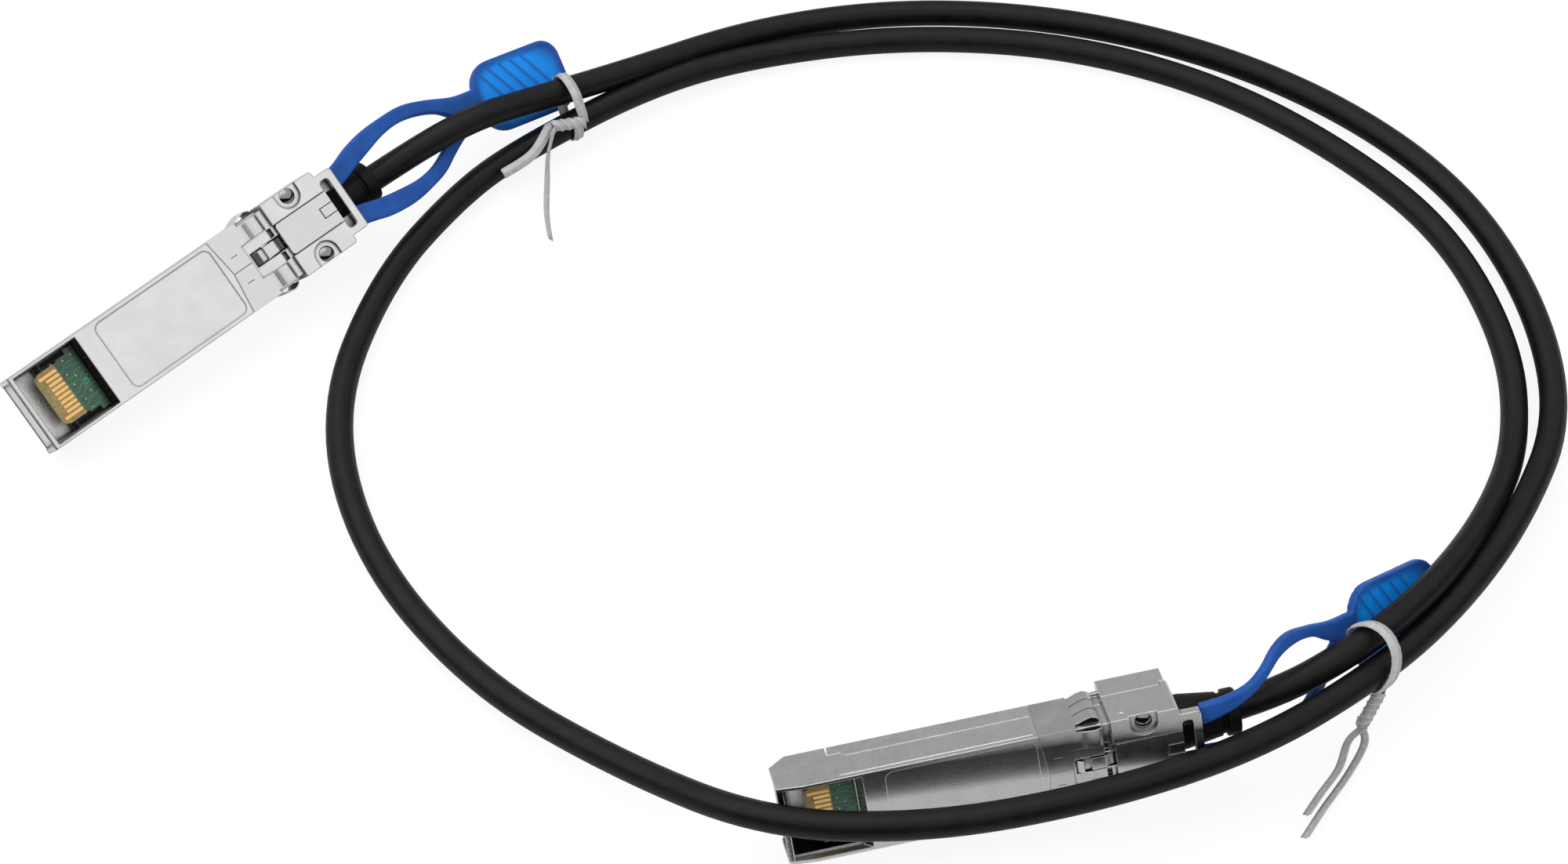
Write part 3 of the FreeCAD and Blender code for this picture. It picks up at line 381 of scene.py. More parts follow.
# Nickel over blasted zinc: pale and satin with a fine sparkle, a painted line on each edge, a
# highlight on plug b and a dark reflection on plug a, and painted shade near black where little
# light reaches, in corners, on the ramp and in the mouth.
CAST_GRIT = 0.22            # the blasted skin's grain, drawn a little coarse so that it shows
CAST_CLOUD = 4.0            # slow patches in the plating
CAST_EDGE = 0.2             # tumbled edge
PAINTED_EDGE_WIDTH = 0.34            # painted line along it, drawn wide enough to show
PAINTED_EDGE_TONE = {"a": "#6A6A6A", "b": "#FFFFFF"}    # painted dark reflection on plug a, painted highlight on plug b
SPECKLE = 0.3               # speckle in the painted shade, drawn coarse so that it shows
INNER_HALF = 6.15           # half the room between the side walls
RAMP_X = (11.65, 13.15)     # the ramp behind the board, painted dark as shade, along the plug
RAMP_Z = (6.9, 8.46)        # and up it
MOUTH_FROM = {"a": 1.7, "b": 0.4}               # where the painted shade in the mouth starts
MOUTH_SHADE = 1.7           # over this length the painted shade goes from speckled grey to black
MOUTH_END = 12.2
MOUTH_Z = (1.0, 8.3)
for plug in PLUGS:
    plated, tree, shader = shaded("zinc_die_cast_nickel_plated_" + plug, "#DEDEDE", 1.0, 0.3)
    here = plug_axes(tree, plug)
    grit = noise_mm(tree, here, CAST_GRIT, 3.0)
    cloud = noise_mm(tree, here, CAST_CLOUD)
    face = mottled(tree, cloud, "#DCDCDB", "#E4E4E3")
    place = add_node(tree, "ShaderNodeSeparateXYZ", None, None, {"Vector": here}).outputs
    within = between(tree, place["Y"], -INNER_HALF, INNER_HALF)
    speckle = spread(tree, noise_mm(tree, here, SPECKLE, 3.0), 0, 1)
    # Painted shade: the ramp and the inside of the mouth are coloured near black with a speckle, for the
    # shade and dark reflections in them; in the mouth it deepens inward.
    painted_ramp_shade = all_of(tree, within, between(tree, place["X"], *RAMP_X), between(tree, place["Z"], *RAMP_Z))
    face = blend(tree, painted_ramp_shade, face, blend(tree, speckle, "#141414", "#5C5C5C"))
    painted_mouth_shade = all_of(tree, within, between(tree, place["X"], MOUTH_FROM[plug], MOUTH_END),
                   between(tree, place["Z"], *MOUTH_Z))
    inward = add_node(tree, "ShaderNodeMapRange", None,
                      {"From Min": MOUTH_FROM[plug], "From Max": MOUTH_FROM[plug] + MOUTH_SHADE},
                      {"Value": place["X"]})
    shade = blend(tree, inward.outputs["Result"], blend(tree, speckle, "#3A3A3A", "#B4B4B4"), "#101010")
    face = blend(tree, painted_mouth_shade, face, shade)
    # Painted light: painted shade in corners and pockets, and a painted edge line, a highlight on plug b and
    # a dark reflection on plug a.
    metal_tone(tree, shader, face, "#1C1C1C", PAINTED_EDGE_TONE[plug], PAINTED_EDGE_WIDTH, deep=True)
    roughen(tree, shader, grit, 0.26, 0.36)
    relief(tree, shader, grit, 0.022, CAST_EDGE)
    coat(plug, "base", plated)
    coat(plug, "cover", plated)

# ---- Collar, latch and slide ----------------------------------------------------
# The collar is stamped from thin spring steel and folded round the body, the rocker and
# the slide are pressed steel, and the rocker's pin and the return spring are drawn wire.
def finish(part, material):
    """Put one material on the same part of both plugs."""
    for plug in PLUGS:
        coat(plug, part, material)


# Bright nickel on stamped spring steel: smooth, with painted shade near black in its folds and slots, and a
# slightly darker painted line along its edges.
PAD_X = (45.3, 49.0)        # sprung pads beside the rocker, bulging a little
PAD_Y = (3.1, 5.9)
PAD_Z = (8.0, 9.6)
PAD_BULGE = 0.3
for plug in PLUGS:
    stamped, tree, shader = shaded("spring_steel_stamped_bright_nickel_" + plug, "#DADADA", 1.0, 0.2)
    # Painted shade near black in folds and slots, and a darker painted line along the edges.
    metal_tone(tree, shader, "#DADADA", "#141414", "#C8C8C8", 0.1)
    here = plug_axes(tree, plug)
    roughen(tree, shader, noise_mm(tree, here, 2.5), 0.27, 0.33)
    place = add_node(tree, "ShaderNodeSeparateXYZ", None, None, {"Vector": here}).outputs
    aside = add_node(tree, "ShaderNodeMath", {"operation": "ABSOLUTE"}, None, {0: place["Y"]})
    on_pad = all_of(tree, between(tree, place["X"], *PAD_X), between(tree, aside.outputs[0], *PAD_Y),
                    between(tree, place["Z"], *PAD_Z))
    turn = add_node(tree, "ShaderNodeMapRange", None,
                    {"From Min": PAD_X[0], "From Max": PAD_X[1], "To Min": 0.0, "To Max": math.pi},
                    {"Value": place["X"]})
    hump = add_node(tree, "ShaderNodeMath", {"operation": "SINE"}, None, {0: turn.outputs["Result"]})
    raised = add_node(tree, "ShaderNodeMath", {"operation": "MULTIPLY"}, None,
                      {0: hump.outputs[0], 1: on_pad})
    relief(tree, shader, raised.outputs[0], PAD_BULGE, 0.1)
    coat(plug, "collar", stamped)

# Nickel on pressed steel: a soft shine, with a painted highlight on its edges and painted shade in its
# corners. The slide's windows are painted dark as deep shade.
for part in ("latch", "slide"):
    pressed, tree, shader = shaded("steel_pressed_nickel_plated_" + part, "#D8D8D8", 1.0, 0.27)
    # Painted highlight on edges, painted shade in corners, and on the slide deep painted shade in its
    # windows.
    metal_tone(tree, shader, "#D8D8D8", "#121212", "#E8E8E8", 0.12, deep=part == "slide")
    roughen(tree, shader, grain(tree, 2.0), 0.25, 0.31)
    relief(tree, shader, grain(tree, 0.3), 0.006, 0.12)
    finish(part, pressed)

# Drawn steel wire: bare, smooth and bright, with faint marks.
drawn, tree, shader = shaded("steel_wire_drawn", "#BEBEBE", 1.0, 0.18)
relief(tree, shader, grain(tree, 0.15), 0.003)
finish("pivot_pin", drawn)
finish("spring", drawn)

# The return spring is a copy of the CAD one, with a mesh of its own, on the fixed body.
for plug in PLUGS:
    spring = nodes["plug_%s_spring" % plug]
    coil = bpy.data.objects.new("return_spring_" + plug, spring.data.copy())
    scene.collection.objects.link(coil)
    coil.matrix_world = spring.matrix_world
    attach(coil, "fixed")
    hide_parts("plug_%s_spring" % plug)
    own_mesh(coil)

# Nickel on rolled steel: a polished grey screw head, with painted shade black in its recess and a painted
# highlight on its edges.
rolled, tree, shader = shaded("steel_rolled_nickel_plated", "#DADADA", 1.0, 0.14)
# Painted shade black in the recess, and a painted highlight along the edges.
metal_tone(tree, shader, "#8C8C8C", "#0A0A0A", "#D8D8D8", 0.08, deep=True)
roughen(tree, shader, grain(tree, 0.4), 0.10, 0.18)
relief(tree, shader, grain(tree, 0.3), 0.003)
finish("screws", rolled)

# ---- Circuit board and small parts ---------------------------------------------
# Glass epoxy laminate, green solder mask over copper traces. The tongue's front is
# left bare and tan, with gold plated fingers, and a few small parts sit behind.
MASK_FRONT = 8.3            # where the green mask starts
BOARD_TOP = 6.25
COPPER_UP = 0.02            # how far a trace stands up from the laminate, and sinks into it
TRACE_HALF = 0.075          # half a trace's width
VIA_RADIUS = 0.13
VIA_SIDES = 10
VIA_UP = 0.03

# Glass epoxy laminate: a dull green mask over the weave, bare tan resin in front of it.
for plug in PLUGS:
    laminate, tree, shader = shaded("glass_epoxy_green_mask_" + plug, "#1C5A3C", 0.0, 0.32, IOR=1.5)
    here = plug_axes(tree, plug)
    along = add_node(tree, "ShaderNodeSeparateXYZ", None, None, {"Vector": here}).outputs["X"]
    masked = add_node(tree, "ShaderNodeMath", {"operation": "GREATER_THAN"}, {1: MASK_FRONT}, {0: along})
    weave = noise_mm(tree, here, 0.5)
    green = mottled(tree, weave, "#284636", "#3A5A46")
    bare = mottled(tree, weave, "#7C6A3E", "#9C8650")
    tree.links.new(blend(tree, masked.outputs[0], bare, green), shader.inputs["Base Color"])
    relief(tree, shader, weave, 0.01)
    coat(plug, "board", laminate)

# Gold plated copper: warm, satin fingers.
gold, tree, shader = shaded("gold_plated_copper", "#EFC079", 1.0, 0.26)
roughen(tree, shader, grain(tree, 0.3), 0.2, 0.34)
relief(tree, shader, grain(tree, 0.3), 0.004)
finish("contacts", gold)

# Moulded epoxy: a matt, charcoal chip body.
resin, tree, shader = shaded("epoxy_moulded_black", "#1A1A1B", 0.0, 0.5, IOR=1.5)
roughen(tree, shader, grain(tree, 0.3), 0.42, 0.6)
relief(tree, shader, grain(tree, 0.1), 0.006)
finish("chip", resin)

# Extruded polyethylene: milky white, slightly waxy insulation.
insulation, tree, shader = shaded("polyethylene_extruded_natural", "#D9D8D2", 0.0, 0.4, IOR=1.5)
relief(tree, shader, grain(tree, 0.4), 0.005)
finish("wires", insulation)

# Turned brass: warm yellow and satin, with fine tool marks.
crimped, tree, shader = shaded("brass_turned_and_crimped", "#D6B26A", 1.0, 0.3)
relief(tree, shader, grain(tree, 0.3), 0.006)
finish("ferrule", crimped)


def new_piece(name, vertices, faces, material, body, smooth=False):
    """A mesh piece that rides on a body."""
    mesh = bpy.data.meshes.new(name)
    mesh.from_pydata([tuple(v) for v in vertices], [], faces)
    mesh.validate()
    if smooth:
        mesh.shade_smooth()
    mesh.materials.append(material)
    piece = bpy.data.objects.new(name, mesh)
    scene.collection.objects.link(piece)
    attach(piece, body)
    return piece


# Copper under the mask: each trace runs back with one slanting jog.
traces = [
    [(8.4, -3.6), (9.3, -3.6), (10.1, -2.9), (12.6, -2.9)],
    [(8.4, -2.0), (9.6, -2.0), (10.4, -1.3), (12.6, -1.3)],
    [(8.4, -1.2), (9.2, -1.2), (10.0, -0.5), (12.6, -0.5)],
    [(8.4, 0.4), (10.6, 0.4), (11.2, 1.0), (12.6, 1.0)],
    [(8.4, 1.2), (9.8, 1.2), (10.6, 1.9), (12.6, 1.9)],
    [(8.4, 2.8), (9.0, 2.8), (9.8, 3.6), (11.9, 3.6)],
    [(9.9, -4.3), (11.0, -4.3), (11.6, -3.8), (12.6, -3.8)],
    [(9.6, 3.0), (10.4, 3.0), (11.0, 2.6), (12.6, 2.6)],
]
vias = [(9.4, -2.8), (10.8, -2.1), (9.2, 0.1), (11.7, 0.3), (10.2, 1.1), (9.1, 2.0), (12.1, 3.1),
        (11.4, 4.4), (9.8, 4.2), (11.9, -4.7), (9.6, -4.4), (11.9, -1.9)]
land = [(10.6, -1.0), (11.6, -1.0), (11.6, 0.1), (10.6, 0.1)]
# Solder mask over copper: a lighter, smoother green than over bare laminate.
mask_copper, tree, shader = shaded("green_mask_over_copper", "#2F7D55", 0.0, 0.3, IOR=1.5)
tree.links.new(mottled(tree, grain(tree, 0.5), "#2B7650", "#37875F"), shader.inputs["Base Color"])
# Tinned copper: small dull silver rings.
tinned, tree, shader = shaded("copper_tinned", "#BDB9AC", 1.0, 0.35)
relief(tree, shader, grain(tree, 0.2), 0.004)


def closed_loft(rings, vertices, faces):
    """A closed skin through rings of equal count, capped at both ends."""
    start = len(vertices)
    count = len(rings[0])
    for ring in rings:
        vertices.extend(ring)
    for row in range(len(rings) - 1):
        for i in range(count):
            j = (i + 1) % count
            a = start + row * count
            faces.append([a + i, a + j, a + count + j, a + count + i])
    faces.append([start + i for i in reversed(range(count))])
    faces.append([start + (len(rings) - 1) * count + i for i in range(count)])


def slab(plug, outline, low, high, vertices, faces):
    """A flat outline in plug axes carried up between two heights."""
    closed_loft([[at_plug(plug, x, y, z) for x, y in outline] for z in (low, high)], vertices, faces)


for plug in PLUGS:
    vertices, faces = [], []
    for line in traces:
        for (x0, y0), (x1, y1) in zip(line, line[1:]):
            run = Vector((x1 - x0, y1 - y0)).normalized()
            side = Vector((-run.y, run.x)) * TRACE_HALF
            strip = [(x0 - side.x, y0 - side.y), (x1 - side.x, y1 - side.y),
                     (x1 + side.x, y1 + side.y), (x0 + side.x, y0 + side.y)]
            slab(plug, strip, BOARD_TOP - COPPER_UP, BOARD_TOP + COPPER_UP, vertices, faces)
    slab(plug, land, BOARD_TOP - COPPER_UP, BOARD_TOP + COPPER_UP, vertices, faces)
    new_piece("board_traces_" + plug, vertices, faces, mask_copper, "fixed")
    vertices, faces = [], []
    for x, y in vias:
        turns = [math.tau * k / VIA_SIDES for k in range(VIA_SIDES)]
        ring = [(x + VIA_RADIUS * math.cos(turn), y + VIA_RADIUS * math.sin(turn)) for turn in turns]
        slab(plug, ring, BOARD_TOP - COPPER_UP, BOARD_TOP + VIA_UP, vertices, faces)
    new_piece("board_vias_" + plug, vertices, faces, tinned, "fixed")

# ---- Boot -----------------------------------------------------------------------
# The strain relief behind each plug, which the cable passes through. It is moulded in
# one piece, and its spigot is held between the two castings.
# Black elastomer: matt and a little mottled, from a spark-eroded mould.
elastomer, tree, shader = shaded("elastomer_moulded_black", "#09090A", 0.0, 0.55, IOR=1.5)
shader.inputs["Specular IOR Level"].default_value = MATT_BLACK_GLOSS
roughen(tree, shader, grain(tree, 0.5), 0.48, 0.62)
relief(tree, shader, grain(tree, 0.2), 0.012, 0.1)
finish("boot", elastomer)

# ---- Pull tabs ------------------------------------------------------------------
# Each is moulded in one shot of soft blue thermoplastic rubber: two legs round the
# cable, a neck, and a flat grip with a thin web between slanting ribs.
TAB_ROOT = Vector((62.9, 0, 6.75))  # where the strap starts, in plug axes
TAB_THICK = 1.5
LEG_ROUND = 0.45            # radius of the legs' edges
STRAP_SWAY = 1.35           # length of the curve's end tangents, over the strap's reach
STRAP_STATIONS = 48
GRIP_LENGTH = 17.6
GRIP_HALF = 6.1
GRIP_CORNER = 3.2
NECK_CORNER = 4.6
GRIP_RIM = 0.95
GRIP_RECESS = 0.15          # how far the web lies below the rim on each face
NECK_LAP = 0.6              # how far the grip reaches into the neck
WEB_LAP = 0.3               # how far the web reaches into the rim
WEB_START = 0.35            # the rim's inner edge at the neck
RIB_COUNT = 5
RIB_WIDTH = 0.5
RIB_SLANT = 0.6             # along the grip for each millimetre across it
RIB_MARGIN = 2.112          # the ribs are spread evenly from here to as far from the tip
RIB_LAP = 0.2               # how far a rib reaches into the rim
RIB_STEP = 0.1              # a rib that sticks out of a round corner is cut back in such steps
SKIN_VOXEL = 0.16           # fine enough to keep the ribs crisp
SKIN_SMOOTHING = 14
# Each grip's place from the root of its strap, and its turn in degrees.
GRIPS = {"a": ((30.2, 0.1, -6.3), (0, 11, -12)), "b": ((27.6, 1.8, -15.9), (-20, 31, -9))}
# The legs' outer and inner edges from the middle, at shares of the way to the grip.
STRAP_OUTSIDE = {"a": [(0, 5.4), (0.12, 6.7), (0.25, 7.3), (0.4, 7.2), (0.58, 6.6), (0.74, 5.0), (0.88, 3.4),
                       (1.0, 3.1)],
                 "b": [(0, 5.3), (0.12, 4.9), (0.25, 4.7), (0.36, 5.3), (0.48, 6.5), (0.6, 6.4), (0.75, 4.5),
                       (0.88, 3.0), (1.0, 2.9)]}
STRAP_HOLE = {"a": [(0, 1.95), (0.12, 3.2), (0.25, 4.1), (0.36, 4.6), (0.5, 4.5), (0.64, 3.5), (0.76, 2.0),
                    (0.83, 0.2), (0.88, -0.6), (1.0, -0.8)],
              "b": [(0, 1.95), (0.12, 2.3), (0.25, 2.8), (0.36, 3.5), (0.48, 4.5), (0.62, 4.0), (0.76, 2.3),
                    (0.84, 0.3), (0.9, -0.6), (1.0, -0.8)]}
STRAP_BOW = {"a": (-0.3, -0.6), "b": (1.2, 0.0)}    # sideways in the middle and at the grip
STRAP_UNDER = {"a": 0.0, "b": 1.4}  # how far the under leg stands off the cable


def flowing(pairs, t):
    """A smooth curve through (place, value) pairs."""
    index = 0
    while index < len(pairs) - 2 and t > pairs[index + 1][0]:
        index += 1
    (t0, v0), (t1, v1) = pairs[index], pairs[index + 1]
    before = pairs[index - 1] if index else (t0 - (t1 - t0), v0)
    after = pairs[index + 2] if index + 2 < len(pairs) else (t1 + (t1 - t0), v1)
    s = (t - t0) / (t1 - t0)
    m0 = (v1 - before[1]) / (t1 - before[0]) * (t1 - t0)
    m1 = (after[1] - v0) / (after[0] - t0) * (t1 - t0)
    return (v0 * (2 * s ** 3 - 3 * s ** 2 + 1) + m0 * (s ** 3 - 2 * s ** 2 + s)
            + v1 * (3 * s ** 2 - 2 * s ** 3) + m1 * (s ** 3 - s ** 2))


def grip_lie(plug):
    """The grip's place and turn in plug axes, in millimetres."""
    base, angles = GRIPS[plug]
    return TAB_ROOT + Vector(base), Euler([math.radians(a) for a in angles]).to_matrix()


def strap_frame(plug, t):
    """Point, width way and face way of the strap in plug axes, in millimetres."""
    end, turn = grip_lie(plug)
    reach = Vector(GRIPS[plug][0]).length * STRAP_SWAY
    leave = Vector((reach, 0, 0))
    arrive = turn @ Vector((reach, 0, 0))
    point = (TAB_ROOT * (2 * t ** 3 - 3 * t ** 2 + 1) + leave * (t ** 3 - 2 * t ** 2 + t)
             + end * (3 * t ** 2 - 2 * t ** 3) + arrive * (t ** 3 - t ** 2))
    heading = (TAB_ROOT * (6 * t ** 2 - 6 * t) + leave * (3 * t ** 2 - 4 * t + 1)
               + end * (6 * t - 6 * t ** 2) + arrive * (3 * t ** 2 - 2 * t)).normalized()
    across = Vector((0, 1, 0)) * (1 - t) + turn @ Vector((0, 1, 0)) * t
    across = (across - heading * across.dot(heading)).normalized()
    middle, far = STRAP_BOW[plug]
    point += across * (middle * math.sin(math.pi * t) + far * t ** 2 * (3 - 2 * t))
    return point, across, heading.cross(across)


def grip_point(plug, x, y, z):
    """A point of the flat grip, in metres in the frame."""
    place, turn = grip_lie(plug)
    return at_plug(plug, *(place + turn @ Vector((x, y, z))))


def rounded(x0, x1, half, low_corner, high_corner, steps):
    """A rectangle from x0 to x1 with quarter-round corners of two sizes, as pairs."""
    low, high = low_corner, high_corner
    points = []
    for cx, cy, corner, start in ((x1 - high, half - high, high, 0), (x0 + low, half - low, low, 90),
                                  (x0 + low, low - half, low, 180), (x1 - high, high - half, high, 270)):
        for step in range(steps + 1):
            angle = math.radians(start + 90 * step / steps)
            points.append((cx + corner * math.cos(angle), cy + corner * math.sin(angle)))
    return points


def grip_outline(x0, x1, inset):
    """The grip's outline seen from its face, rounder at the neck than at the tip."""
    return rounded(x0, x1, GRIP_HALF - inset, NECK_CORNER - inset, GRIP_CORNER - inset, 8)


def leg(plug, side, vertices, faces):
    """One leg of the strap, from the slide to the neck."""
    rings = []
    for step in range(STRAP_STATIONS + 1):
        t = step / STRAP_STATIONS
        point, across, face = strap_frame(plug, t)
        off = STRAP_UNDER[plug] * math.sin(math.pi * t) if side < 0 else 0.0
        inner = flowing(STRAP_HOLE[plug], t) + off
        outer = flowing(STRAP_OUTSIDE[plug], t) + off
        section = rounded(inner, outer, TAB_THICK / 2, LEG_ROUND, LEG_ROUND, 3)
        rings.append([at_plug(plug, *(point + across * side * a + face * z)) for a, z in section])
    closed_loft(rings, vertices, faces)


def rib_places():
    """Middle of each rib along the grip."""
    pitch = (GRIP_LENGTH - 2 * RIB_MARGIN + RIB_WIDTH) / (RIB_COUNT + 1)
    return [RIB_MARGIN + (index + 1) * pitch - RIB_WIDTH / 2 for index in range(RIB_COUNT)]


def on_web(x, y):
    """Whether a place lies inside the grip's rim, or no deeper in it than a rib may reach."""
    at_neck = x < GRIP_LENGTH / 2
    rim = GRIP_RIM - RIB_LAP
    corner = (NECK_CORNER if at_neck else GRIP_CORNER) - rim
    end = WEB_START - RIB_LAP if at_neck else GRIP_LENGTH - rim
    past_x = max(0.0, corner - abs(x - end))
    past_y = max(0.0, abs(y) - (GRIP_HALF - rim - corner))
    return 0 <= x <= GRIP_LENGTH and abs(y) <= GRIP_HALF - rim and math.hypot(past_x, past_y) <= corner


def grip_skin(plug, vertices, faces):
    """Web, rim and slanting ribs of the grip."""
    top = TAB_THICK / 2
    web = top - GRIP_RECESS
    inset = grip_outline(-WEB_LAP, GRIP_LENGTH - WEB_LAP, WEB_LAP)
    closed_loft([[grip_point(plug, x, y, z) for x, y in inset] for z in (-web, web)], vertices, faces)
    outer = grip_outline(-NECK_LAP, GRIP_LENGTH, 0)
    inner = grip_outline(WEB_START, GRIP_LENGTH - GRIP_RIM, GRIP_RIM)
    start = len(vertices)
    count = len(outer)
    for z in (-top, top):
        vertices.extend(grip_point(plug, x, y, z) for x, y in outer + inner)
    ol, il, oh, ih = (start + count * ring for ring in range(4))
    for i in range(count):
        j = (i + 1) % count
        faces.append([ol + i, ol + j, oh + j, oh + i])
        faces.append([il + j, il + i, ih + i, ih + j])
        faces.append([oh + i, oh + j, ih + j, ih + i])
        faces.append([ol + j, ol + i, il + i, il + j])
    reach = GRIP_HALF - GRIP_RIM + RIB_LAP
    for x in rib_places():
        low, high = -reach, reach
        while not on_web(x - RIB_SLANT * low, low):
            low += RIB_STEP
        while not on_web(x - RIB_SLANT * high, high):
            high -= RIB_STEP
        front, rear = x - RIB_WIDTH / 2, x + RIB_WIDTH / 2
        bar = [(front - RIB_SLANT * low, low), (rear - RIB_SLANT * low, low),
               (rear - RIB_SLANT * high, high), (front - RIB_SLANT * high, high)]
        closed_loft([[grip_point(plug, a, b, z) for a, b in bar] for z in (-top, top)], vertices, faces)


def skinned(name, vertices, faces):
    """Overlapping closed lumps fused into one soft moulded skin."""
    mesh = bpy.data.meshes.new(name)
    mesh.from_pydata([tuple(v) for v in vertices], [], faces)
    work = bpy.data.objects.new(name + "_work", mesh)
    scene.collection.objects.link(work)
    remesh = work.modifiers.new("fuse", "REMESH")
    remesh.mode = "VOXEL"
    remesh.voxel_size = SKIN_VOXEL * MM
    soften = work.modifiers.new("soften", "SMOOTH")
    soften.factor = 0.5
    soften.iterations = SKIN_SMOOTHING
    depsgraph = bpy.context.evaluated_depsgraph_get()
    result = bpy.data.meshes.new_from_object(work.evaluated_get(depsgraph))
    bpy.data.objects.remove(work)
    result.name = name
    result.shade_smooth()
    return result


# Soft blue rubber: satin and a little translucent. Light through the thin web is painted into
# its colour as a brighter blue, which the thick rim and legs don't get.
rubber, tree, shader = shaded("thermoplastic_rubber_moulded_blue", "#1D5AB4", 0.0, 0.46, IOR=1.5)
shader.inputs["Specular IOR Level"].default_value = 0.2
shader.inputs["Subsurface Weight"].default_value = 0.35
shader.inputs["Subsurface Radius"].default_value = (0.2, 0.5, 1.0)
shader.inputs["Subsurface Scale"].default_value = 1.5 * MM
painted_glow_fac = add_node(tree, "ShaderNodeAttribute", {"attribute_name": "painted_web_glow"}).outputs["Fac"]
thick_blue = mottled(tree, grain(tree, 3.0), "#164892", "#1E53A0")
# Painted glow: the web's blue is lightened by the attribute read here, for light that shines through it.
tree.links.new(blend(tree, painted_glow_fac, thick_blue, "#068CEA"), shader.inputs["Base Color"])
roughen(tree, shader, grain(tree, 0.6), 0.36, 0.5)
relief(tree, shader, grain(tree, 0.25), 0.01)


def ramped(value, low, high):
    """0 up to low, 1 from high on, and straight between them."""
    return max(0.0, min(1.0, (value - low) / (high - low)))


WEB_FROM = 0.5              # where the web starts at the neck, for the painted glow
WEB_FADE = 0.6              # either side of the rim's inner edge
GLOW_MIDDLE = 0.46          # the brightest place, as a share of the grip's length
GLOW_REACH = (0.5, 1.05)    # how far it spreads, as shares of the length and the half width
GLOW_FALL = 0.8
GLOW_GAIN = 1.9             # above 1 the brightest part is level
RIB_SOFT = (-0.05, 0.25)    # a rib's shade fades out between these, from its side
RIB_SHADE = 0.65


def mark_painted_glow(mesh, plug):
    """Painted glow for light through the web, as a lighter colour: most in its middle, least on ribs and
    rim.
    """
    place, turn = grip_lie(plug)
    back = (plug_matrix(plug) @ Matrix.Translation(place * MM) @ turn.to_4x4()).inverted()
    ribs = rib_places()
    layer = mesh.attributes.new("painted_web_glow", "FLOAT", "POINT")
    for vertex, value in zip(mesh.vertices, layer.data):
        x, y = ((back @ vertex.co) / MM).xy
        inside = min(x - WEB_FROM, GRIP_LENGTH - GRIP_RIM - x, GRIP_HALF - GRIP_RIM - abs(y))
        middle = math.hypot((x / GRIP_LENGTH - GLOW_MIDDLE) / GLOW_REACH[0], y / GRIP_HALF / GLOW_REACH[1])
        glow_here = max(0.0, 1.0 - GLOW_FALL * middle ** 2) * ramped(inside, -WEB_FADE, WEB_FADE)
        from_rib = min(abs(x + RIB_SLANT * y - rib) for rib in ribs) - RIB_WIDTH / 2
        between_rims = abs(y) <= GRIP_HALF - GRIP_RIM - RIB_LAP
        on_rib = 1.0 - ramped(from_rib, *RIB_SOFT) if between_rims else 0.0
        value.value = min(1.0, GLOW_GAIN * glow_here) * (1 - RIB_SHADE * on_rib)


for plug in PLUGS:
    vertices, faces = [], []
    for side in (-1, 1):
        leg(plug, side, vertices, faces)
    grip_skin(plug, vertices, faces)
    mesh = skinned("pull_tab_moulding_" + plug, vertices, faces)
    mark_painted_glow(mesh, plug)
    mesh.materials.clear()
    mesh.materials.append(rubber)
    tab = bpy.data.objects.new("pull_tab_moulding_" + plug, mesh)
    scene.collection.objects.link(tab)
    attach(tab, "pull_" + plug)
    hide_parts("plug_%s_pull_tab" % plug)

# ---- Twist ties -----------------------------------------------------------------
# Each tie is one strip of clear grey plastic film with a steel wire along its
# middle. It goes round both strands, twists on itself and leaves two loose ends.
TIE_HALF = 0.85             # half the strip's width
FILM_HALF = 0.1             # half its thickness
WIRE_RADIUS = 0.3           # the ridge that the wire makes in the film
RIDGE_SHOULDER = (0.7, 0.75)        # a point on the ridge's side, as shares of that radius
TIE_CLEAR = 0.55            # room between the jacket and the middle of the strip
TIE_PITCH = 1.2             # the two ends of the ring lie this far apart along the cable
FOOT_OUT = 0.5              # the twist starts this far outside the ring
TWIST_RADIUS = 0.78
RING_STEPS = 30
TWIST_STEPS = 20
END_STEPS = 6
OTHER_STRAND = 40           # the other strand is at least so many points along the cable
STRANDS_APART = 12.0


def two_strands(near):
    """Centres of the two strands that pass a point, and their common heading."""
    near = Vector(near) * MM
    first = min(range(2, len(cable_line) - 2), key=lambda k: (cable_line[k] - near).length)
    heading = (cable_line[first + 1] - cable_line[first - 1]).normalized()
    centre = cable_line[first]
    others = [k for k in range(len(cable_line)) if abs(k - first) > OTHER_STRAND
              and (cable_line[k] - centre).length < STRANDS_APART * MM]
    second = min(others, key=lambda k: abs((cable_line[k] - centre).dot(heading)))
    return centre, cable_line[second], heading


def eased_line(points):
    """A smooth line through points."""
    out = []
    last = len(points) - 1
    for index in range(last):
        p0 = points[max(index - 1, 0)]
        p1, p2 = points[index], points[index + 1]
        p3 = points[min(index + 2, last)]
        for step in range(END_STEPS):
            t = step / END_STEPS
            out.append(0.5 * ((2 * p1) + (p2 - p0) * t + (2 * p0 - 5 * p1 + 4 * p2 - p3) * t ** 2
                              + (3 * p1 - p0 - 3 * p2 + p3) * t ** 3))
    out.append(points[last])
    return out


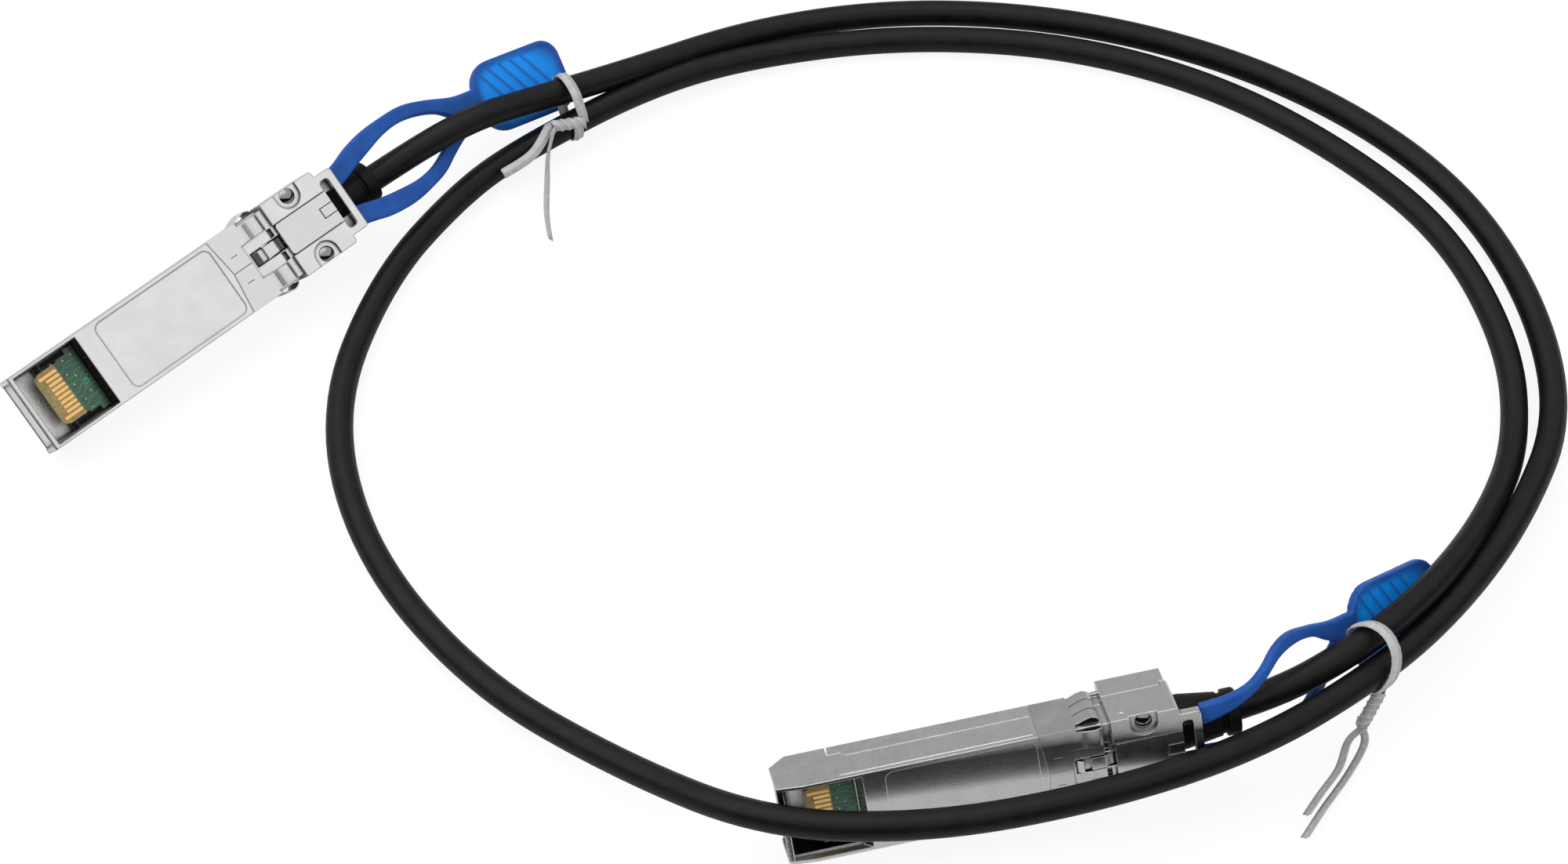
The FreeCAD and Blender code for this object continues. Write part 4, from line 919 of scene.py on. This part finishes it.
def ring_path(first, second, heading, start_angle, roundness, lean):
    """Points and outward directions once round both strands, from an angle.

    The top is flat across the strands at a roundness of 0 and one arc over both at 1,
    and leans along them."""
    across = (second - first).normalized()
    up = heading.cross(across).normalized()
    if up.z < 0:
        up = -up
    radius = CABLE_DIAMETER / 2 + TIE_CLEAR * MM
    wide = radius + (second - first).length / 2
    points, outward = [], []
    for step in range(RING_STEPS + 1):
        angle = start_angle + math.tau * step / RING_STEPS
        way = across * math.cos(angle) + up * math.sin(angle)
        tight = (second if math.cos(angle) > 0 else first) + way * radius
        loose = (first + second) / 2 + way * wide
        over = max(0.0, math.sin(angle))
        point = tight.lerp(loose, roundness * over)
        along = (0.5 - step / RING_STEPS) * TIE_PITCH + lean * over
        points.append(point + heading * along * MM)
        outward.append(way)
    return points, outward


def twist_path(start, end, turns, phase):
    """One of two strips wound round each other from start to end."""
    heading = (end - start).normalized()
    side = heading.cross(Vector((0, 0, 1))).normalized()
    other = heading.cross(side)
    points, outward = [], []
    for step in range(TWIST_STEPS + 1):
        angle = phase + math.tau * turns * step / TWIST_STEPS
        way = side * math.cos(angle) + other * math.sin(angle)
        points.append(start.lerp(end, step / TWIST_STEPS) + way * TWIST_RADIUS * MM)
        outward.append(way)
    return points, outward


def strip_mesh(points, outward):
    """The film strip with its wire ridge, swept along points facing outward."""
    across, rise = (WIRE_RADIUS * share for share in RIDGE_SHOULDER)
    half = [(-TIE_HALF, FILM_HALF), (-WIRE_RADIUS, FILM_HALF), (-across, rise), (0, WIRE_RADIUS),
            (across, rise), (WIRE_RADIUS, FILM_HALF), (TIE_HALF, FILM_HALF)]
    section = half + [(x, -z) for x, z in reversed(half)]
    rings = []
    for index, point in enumerate(points):
        ahead = points[min(index + 1, len(points) - 1)]
        behind = points[max(index - 1, 0)]
        heading = (ahead - behind).normalized()
        way = outward[index]
        way = (way - heading * way.dot(heading)).normalized()
        side = heading.cross(way)
        rings.append([point + side * x * MM + way * z * MM for x, z in section])
    vertices, faces = [], []
    closed_loft(rings, vertices, faces)
    return vertices, faces


def eased_ways(ways, rounds=3):
    """Facing directions averaged with their neighbours."""
    for _ in range(rounds):
        ways = [(ways[max(i - 1, 0)] + ways[i] * 2 + ways[min(i + 1, len(ways) - 1)]).normalized()
                for i in range(len(ways))]
    return ways


# Polythene film: pale grey, satin and a little clear, with shallow ripples.
film, tree, shader = shaded("polythene_film_over_wire", "#CCCCCC", 0.0, 0.34, IOR=1.45)
shader.inputs["Transmission Weight"].default_value = 0.12
tree.links.new(mottled(tree, grain(tree, 0.8), "#ADAEAF", "#C4C4C4"), shader.inputs["Base Color"])
relief(tree, shader, grain(tree, 0.5), 0.02)

# Where each tie goes round, the angle at which it leaves, and its knot and loose ends.
TIES = {
    "tie_1": {"near": (-25.0, 66.3, 7.9), "leave": 75, "round": 0.55, "lean": -0.4,
              "knot": (-26.4, 58.2, 8.2), "turns": 2.0,
              "ends": [[(-29.6, 54.0, 6.2), (-34.4, 50.0, 5.8)],
                       [(-27.2, 55.2, 4.8), (-27.4, 51.5, 2.2), (-27.3, 45.4, 1.2), (-26.5, 40.2, 1.1)]],
              "faces": [(0.25, -0.55, 0.8), (0.9, 0.1, 0.4)]},
    "tie_2": {"near": (98.2, -46.2, 14.0), "leave": -25, "round": 0.9, "lean": -2.6,
              "knot": (98.0, -53.9, 4.6), "turns": 2.4,
              "ends": [[(95.9, -56.0, 3.2), (94.2, -60.0, 1.7), (91.2, -64.0, 1.2), (88.9, -67.4, 1.2)],
                       [(98.3, -56.0, 2.8), (95.7, -60.6, 1.5), (91.5, -66.4, 1.2), (88.3, -71.2, 1.2)]],
              "faces": [(-0.66, 0.3, 0.62), (-0.66, 0.3, 0.62)]},
}
for name, tie in TIES.items():
    first, second, heading = two_strands(tie["near"])
    angle = math.radians(tie["leave"])
    ring, ring_out = ring_path(first, second, heading, angle, tie["round"], tie["lean"])
    foot = (ring[0] + ring[-1]) / 2 + ring_out[0] * FOOT_OUT * MM
    knot = Vector(tie["knot"]) * MM
    tails = []
    for end, face, phase in zip(tie["ends"], tie["faces"], (0.0, math.pi)):
        twist, twist_out = twist_path(foot, knot, tie["turns"], phase)
        loose = eased_line([twist[-1]] + [Vector(point) * MM for point in end])[1:]
        tails.append((twist + loose, twist_out + [Vector(face).normalized()] * len(loose)))
    (back, back_out), (onward, onward_out) = tails
    ways = eased_ways(back_out[::-1] + ring_out + onward_out)
    vertices, faces = strip_mesh(back[::-1] + ring + onward, ways)
    strip = new_piece(name + "_strip", vertices, faces, film, "fixed", smooth=True)
    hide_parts(name)
    tie["piece"] = strip
